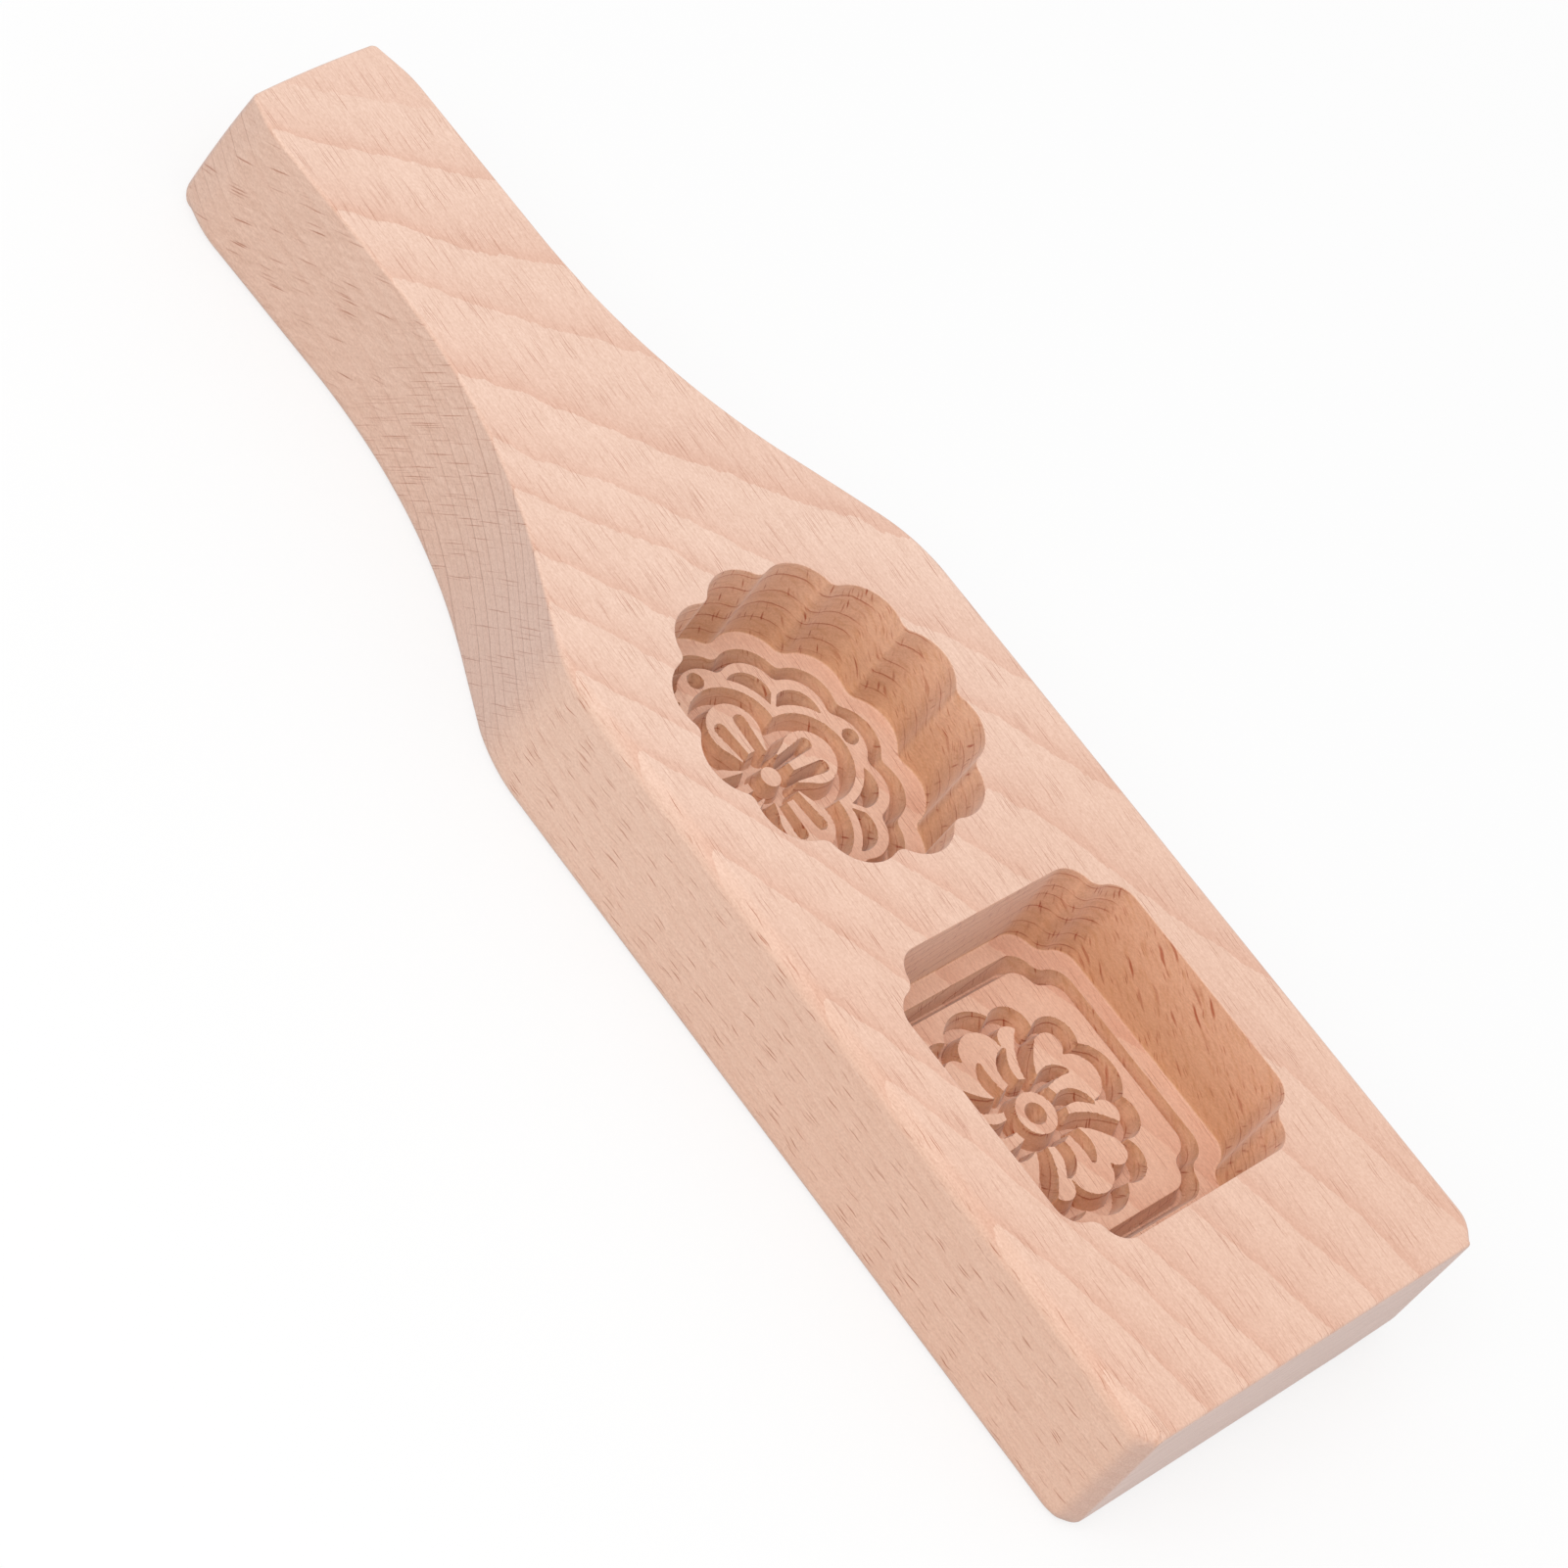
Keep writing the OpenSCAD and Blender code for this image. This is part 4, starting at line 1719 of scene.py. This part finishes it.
    def material(self) -> bpy.types.Material:
        """Builds the finish: years, rays, tints and mottling in turn, over a fine relief.

        Returns:
            The material.
        """
        made = bpy.data.materials.new("beech")
        made.use_nodes = True
        made.node_tree.nodes.clear()
        sketch = Sketch(made.node_tree)
        place = sketch.node("ShaderNodeTexCoord")
        at = sketch.stretch(place.outputs["Object"], (1 / MM, 1 / MM, 1 / MM))
        wave = self.bend.draw(sketch, at)
        bent = sketch.shift(at, sketch.join(wave, sketch.product(wave, self.bend_across), wave))
        faces = self.faces(sketch, at, place.outputs["Normal"])
        phase, depth = self.years(sketch, at)
        fleck, scar = self.flecks(sketch, faces, bent, phase, depth)
        fibre = self.fibre.draw(sketch, bent)

        colour = self.grown(sketch, faces, phase, depth)
        colour = sketch.mix(fleck, colour, linear(*self.fleck))
        colour = sketch.mix(scar, colour, linear(*self.scar))
        colour = self.planed(sketch, faces, at, colour)
        colour = self.carved(sketch, faces, at, bent, colour)
        colour = self.mottled(sketch, faces, at, bent, fibre, colour)

        bump = sketch.node("ShaderNodeBump")
        pores = sketch.product(sketch.total(fleck, sketch.product(scar, self.scar_pore)), self.pore)
        sketch.feed(bump.inputs["Strength"], self.relief)
        sketch.feed(bump.inputs["Distance"], self.relief_depth)
        sketch.feed(bump.inputs["Height"], sketch.total(pores, fibre))

        shader = sketch.node("ShaderNodeBsdfPrincipled")
        rough_end = sketch.product(faces.end, self.rough_end)
        rough = sketch.total(self.rough, sketch.product(fibre, self.rough_fibre), rough_end)
        sketch.feed(shader.inputs["Base Color"], colour)
        sketch.feed(shader.inputs["Roughness"], rough)
        sketch.feed(shader.inputs["Normal"], bump.outputs[0])
        sketch.feed(shader.inputs["Specular IOR Level"], self.gloss)
        sketch.feed(shader.inputs["Sheen Weight"], self.sheen)
        sketch.feed(shader.inputs["Sheen Roughness"], self.sheen_rough)
        sketch.feed(sketch.node("ShaderNodeOutputMaterial").inputs["Surface"], shader.outputs[0])
        return made


@dataclass
class Studio:
    """A white room: a pale floor, an even sky and one large soft lamp.

    Attributes:
        lens: Focal length of the camera, in millimetres.
        film: Width of its film.
        reach: Nearest and farthest distance that it sees, in metres.
        eye: Place of the camera, in millimetres.
        right: The picture's right in the board's frame.
        up: The picture's up.
        sky: Strength of the even light.
        lamp: Power of the lamp, in watts.
        lamp_at: Place of the lamp, in metres; it looks at the board.
        lamp_size: Side of the lamp, in metres.
        floor_half: Half the side of the floor, in metres.
        floor_grey: How much light the floor throws back at the board.
        floor_white: How far the floor as seen is plain white; the rest takes the shadow.
    """

    lens: float = 162.78
    film: float = 36.0
    reach: Pair = (0.05, 20.0)
    eye: Triple = (188.8, -632.5, 641.2)
    right: Triple = (0.6072, 0.6426, 0.4673)
    up: Triple = (-0.7690, 0.3274, 0.5491)
    sky: float = 0.79
    lamp: float = 3.3
    lamp_at: Triple = (0.0, -0.69, 0.85)
    lamp_size: float = 0.8
    floor_half: float = 4.0
    floor_grey: float = 0.6
    floor_white: float = 0.75

    def pose(self, place: np.ndarray, right: np.ndarray, back: np.ndarray) -> Matrix:
        """A pose that looks against a direction.

        Args:
            place: Where it stands, in metres.
            right: Its right.
            back: The direction that it looks away from.

        Returns:
            The pose's matrix.
        """
        pose = np.eye(4)
        pose[:3, 0], pose[:3, 1], pose[:3, 2], pose[:3, 3] = right, np.cross(back, right), back, place
        return Matrix(pose.tolist())

    def camera(self) -> None:
        """Places the camera."""
        scene = bpy.context.scene
        data = bpy.data.cameras.new("camera")
        data.lens, data.sensor_width = self.lens, self.film
        data.clip_start, data.clip_end = self.reach
        right = unit(np.array(self.right))
        back = unit(np.cross(right, np.array(self.up)))
        eye = bpy.data.objects.new("camera", data)
        eye.matrix_world = self.pose(np.array(self.eye) * MM, right, back)
        scene.collection.objects.link(eye)
        scene.camera = eye

    def floor_material(self) -> bpy.types.Material:
        """Builds the floor's finish: white as the camera sees it, with the shadow let through, grey to all else.

        Returns:
            The material.
        """
        made = bpy.data.materials.new("floor")
        made.use_nodes = True
        made.node_tree.nodes.clear()
        sketch = Sketch(made.node_tree)
        grey, white = (*(self.floor_grey,) * 3, 1.0), (1.0, 1.0, 1.0, 1.0)
        seen = sketch.node("ShaderNodeLightPath").outputs["Is Camera Ray"]
        pale = sketch.node("ShaderNodeBsdfDiffuse")
        sketch.feed(pale.inputs["Color"], sketch.mix(seen, grey, white))
        plain = sketch.node("ShaderNodeEmission")
        sketch.feed(plain.inputs["Color"], white)
        share = sketch.product(seen, self.floor_white)
        blend = sketch.fed(sketch.node("ShaderNodeMixShader"), share, pale.outputs[0], plain.outputs[0])
        sketch.feed(sketch.node("ShaderNodeOutputMaterial").inputs["Surface"], blend.outputs[0])
        return made

    def floor(self) -> None:
        """Lays a pale floor that shows white with a faint shadow."""
        size = self.floor_half
        mesh = bpy.data.meshes.new("floor")
        mesh.from_pydata([(-size, -size, 0), (size, -size, 0), (size, size, 0), (-size, size, 0)], [], [(0, 1, 2, 3)])
        mesh.materials.append(self.floor_material())
        ground = bpy.data.objects.new("floor", mesh)
        bpy.context.scene.collection.objects.link(ground)

    def lights(self) -> None:
        """Sets the sky, which the camera sees as white, and the lamp."""
        scene = bpy.context.scene
        world = bpy.data.worlds.new("studio")
        world.use_nodes = True
        world.node_tree.nodes.clear()
        sketch = Sketch(world.node_tree)
        seen = sketch.node("ShaderNodeLightPath").outputs["Is Camera Ray"]
        even = sketch.node("ShaderNodeBackground")
        sketch.feed(even.inputs["Color"], (1.0, 1.0, 1.0, 1.0))
        sketch.feed(even.inputs["Strength"], sketch.math("MULTIPLY_ADD", seen, 1 - self.sky, self.sky))
        sketch.feed(sketch.node("ShaderNodeOutputWorld").inputs["Surface"], even.outputs[0])
        scene.world = world
        data = bpy.data.lights.new("lamp", "AREA")
        data.shape, data.size, data.energy = "SQUARE", self.lamp_size, self.lamp
        lamp = bpy.data.objects.new("lamp", data)
        place = np.array(self.lamp_at)
        back = unit(place)
        lamp.matrix_world = self.pose(place, unit(np.cross([0, 1, 0], back)), back)
        scene.collection.objects.link(lamp)

    def build(self) -> None:
        """Sets up the camera, the floor, the lights and the picture's tones."""
        bpy.context.scene.view_settings.view_transform = "Standard"
        self.camera()
        self.floor()
        self.lights()


def main() -> None:
    """Builds the mold and the room, and logs the mold's points and faces."""
    logging.basicConfig(level=logging.INFO, format="%(name)s: %(message)s")
    piece = Board().build()
    piece.data.materials.append(Beech().material())
    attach(piece, "root")
    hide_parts("mold_board")
    log.info("%s: %d points, %d faces", piece.name, len(piece.data.vertices), len(piece.data.polygons))
    Studio().build()


if __name__ == "__main__":
    main()
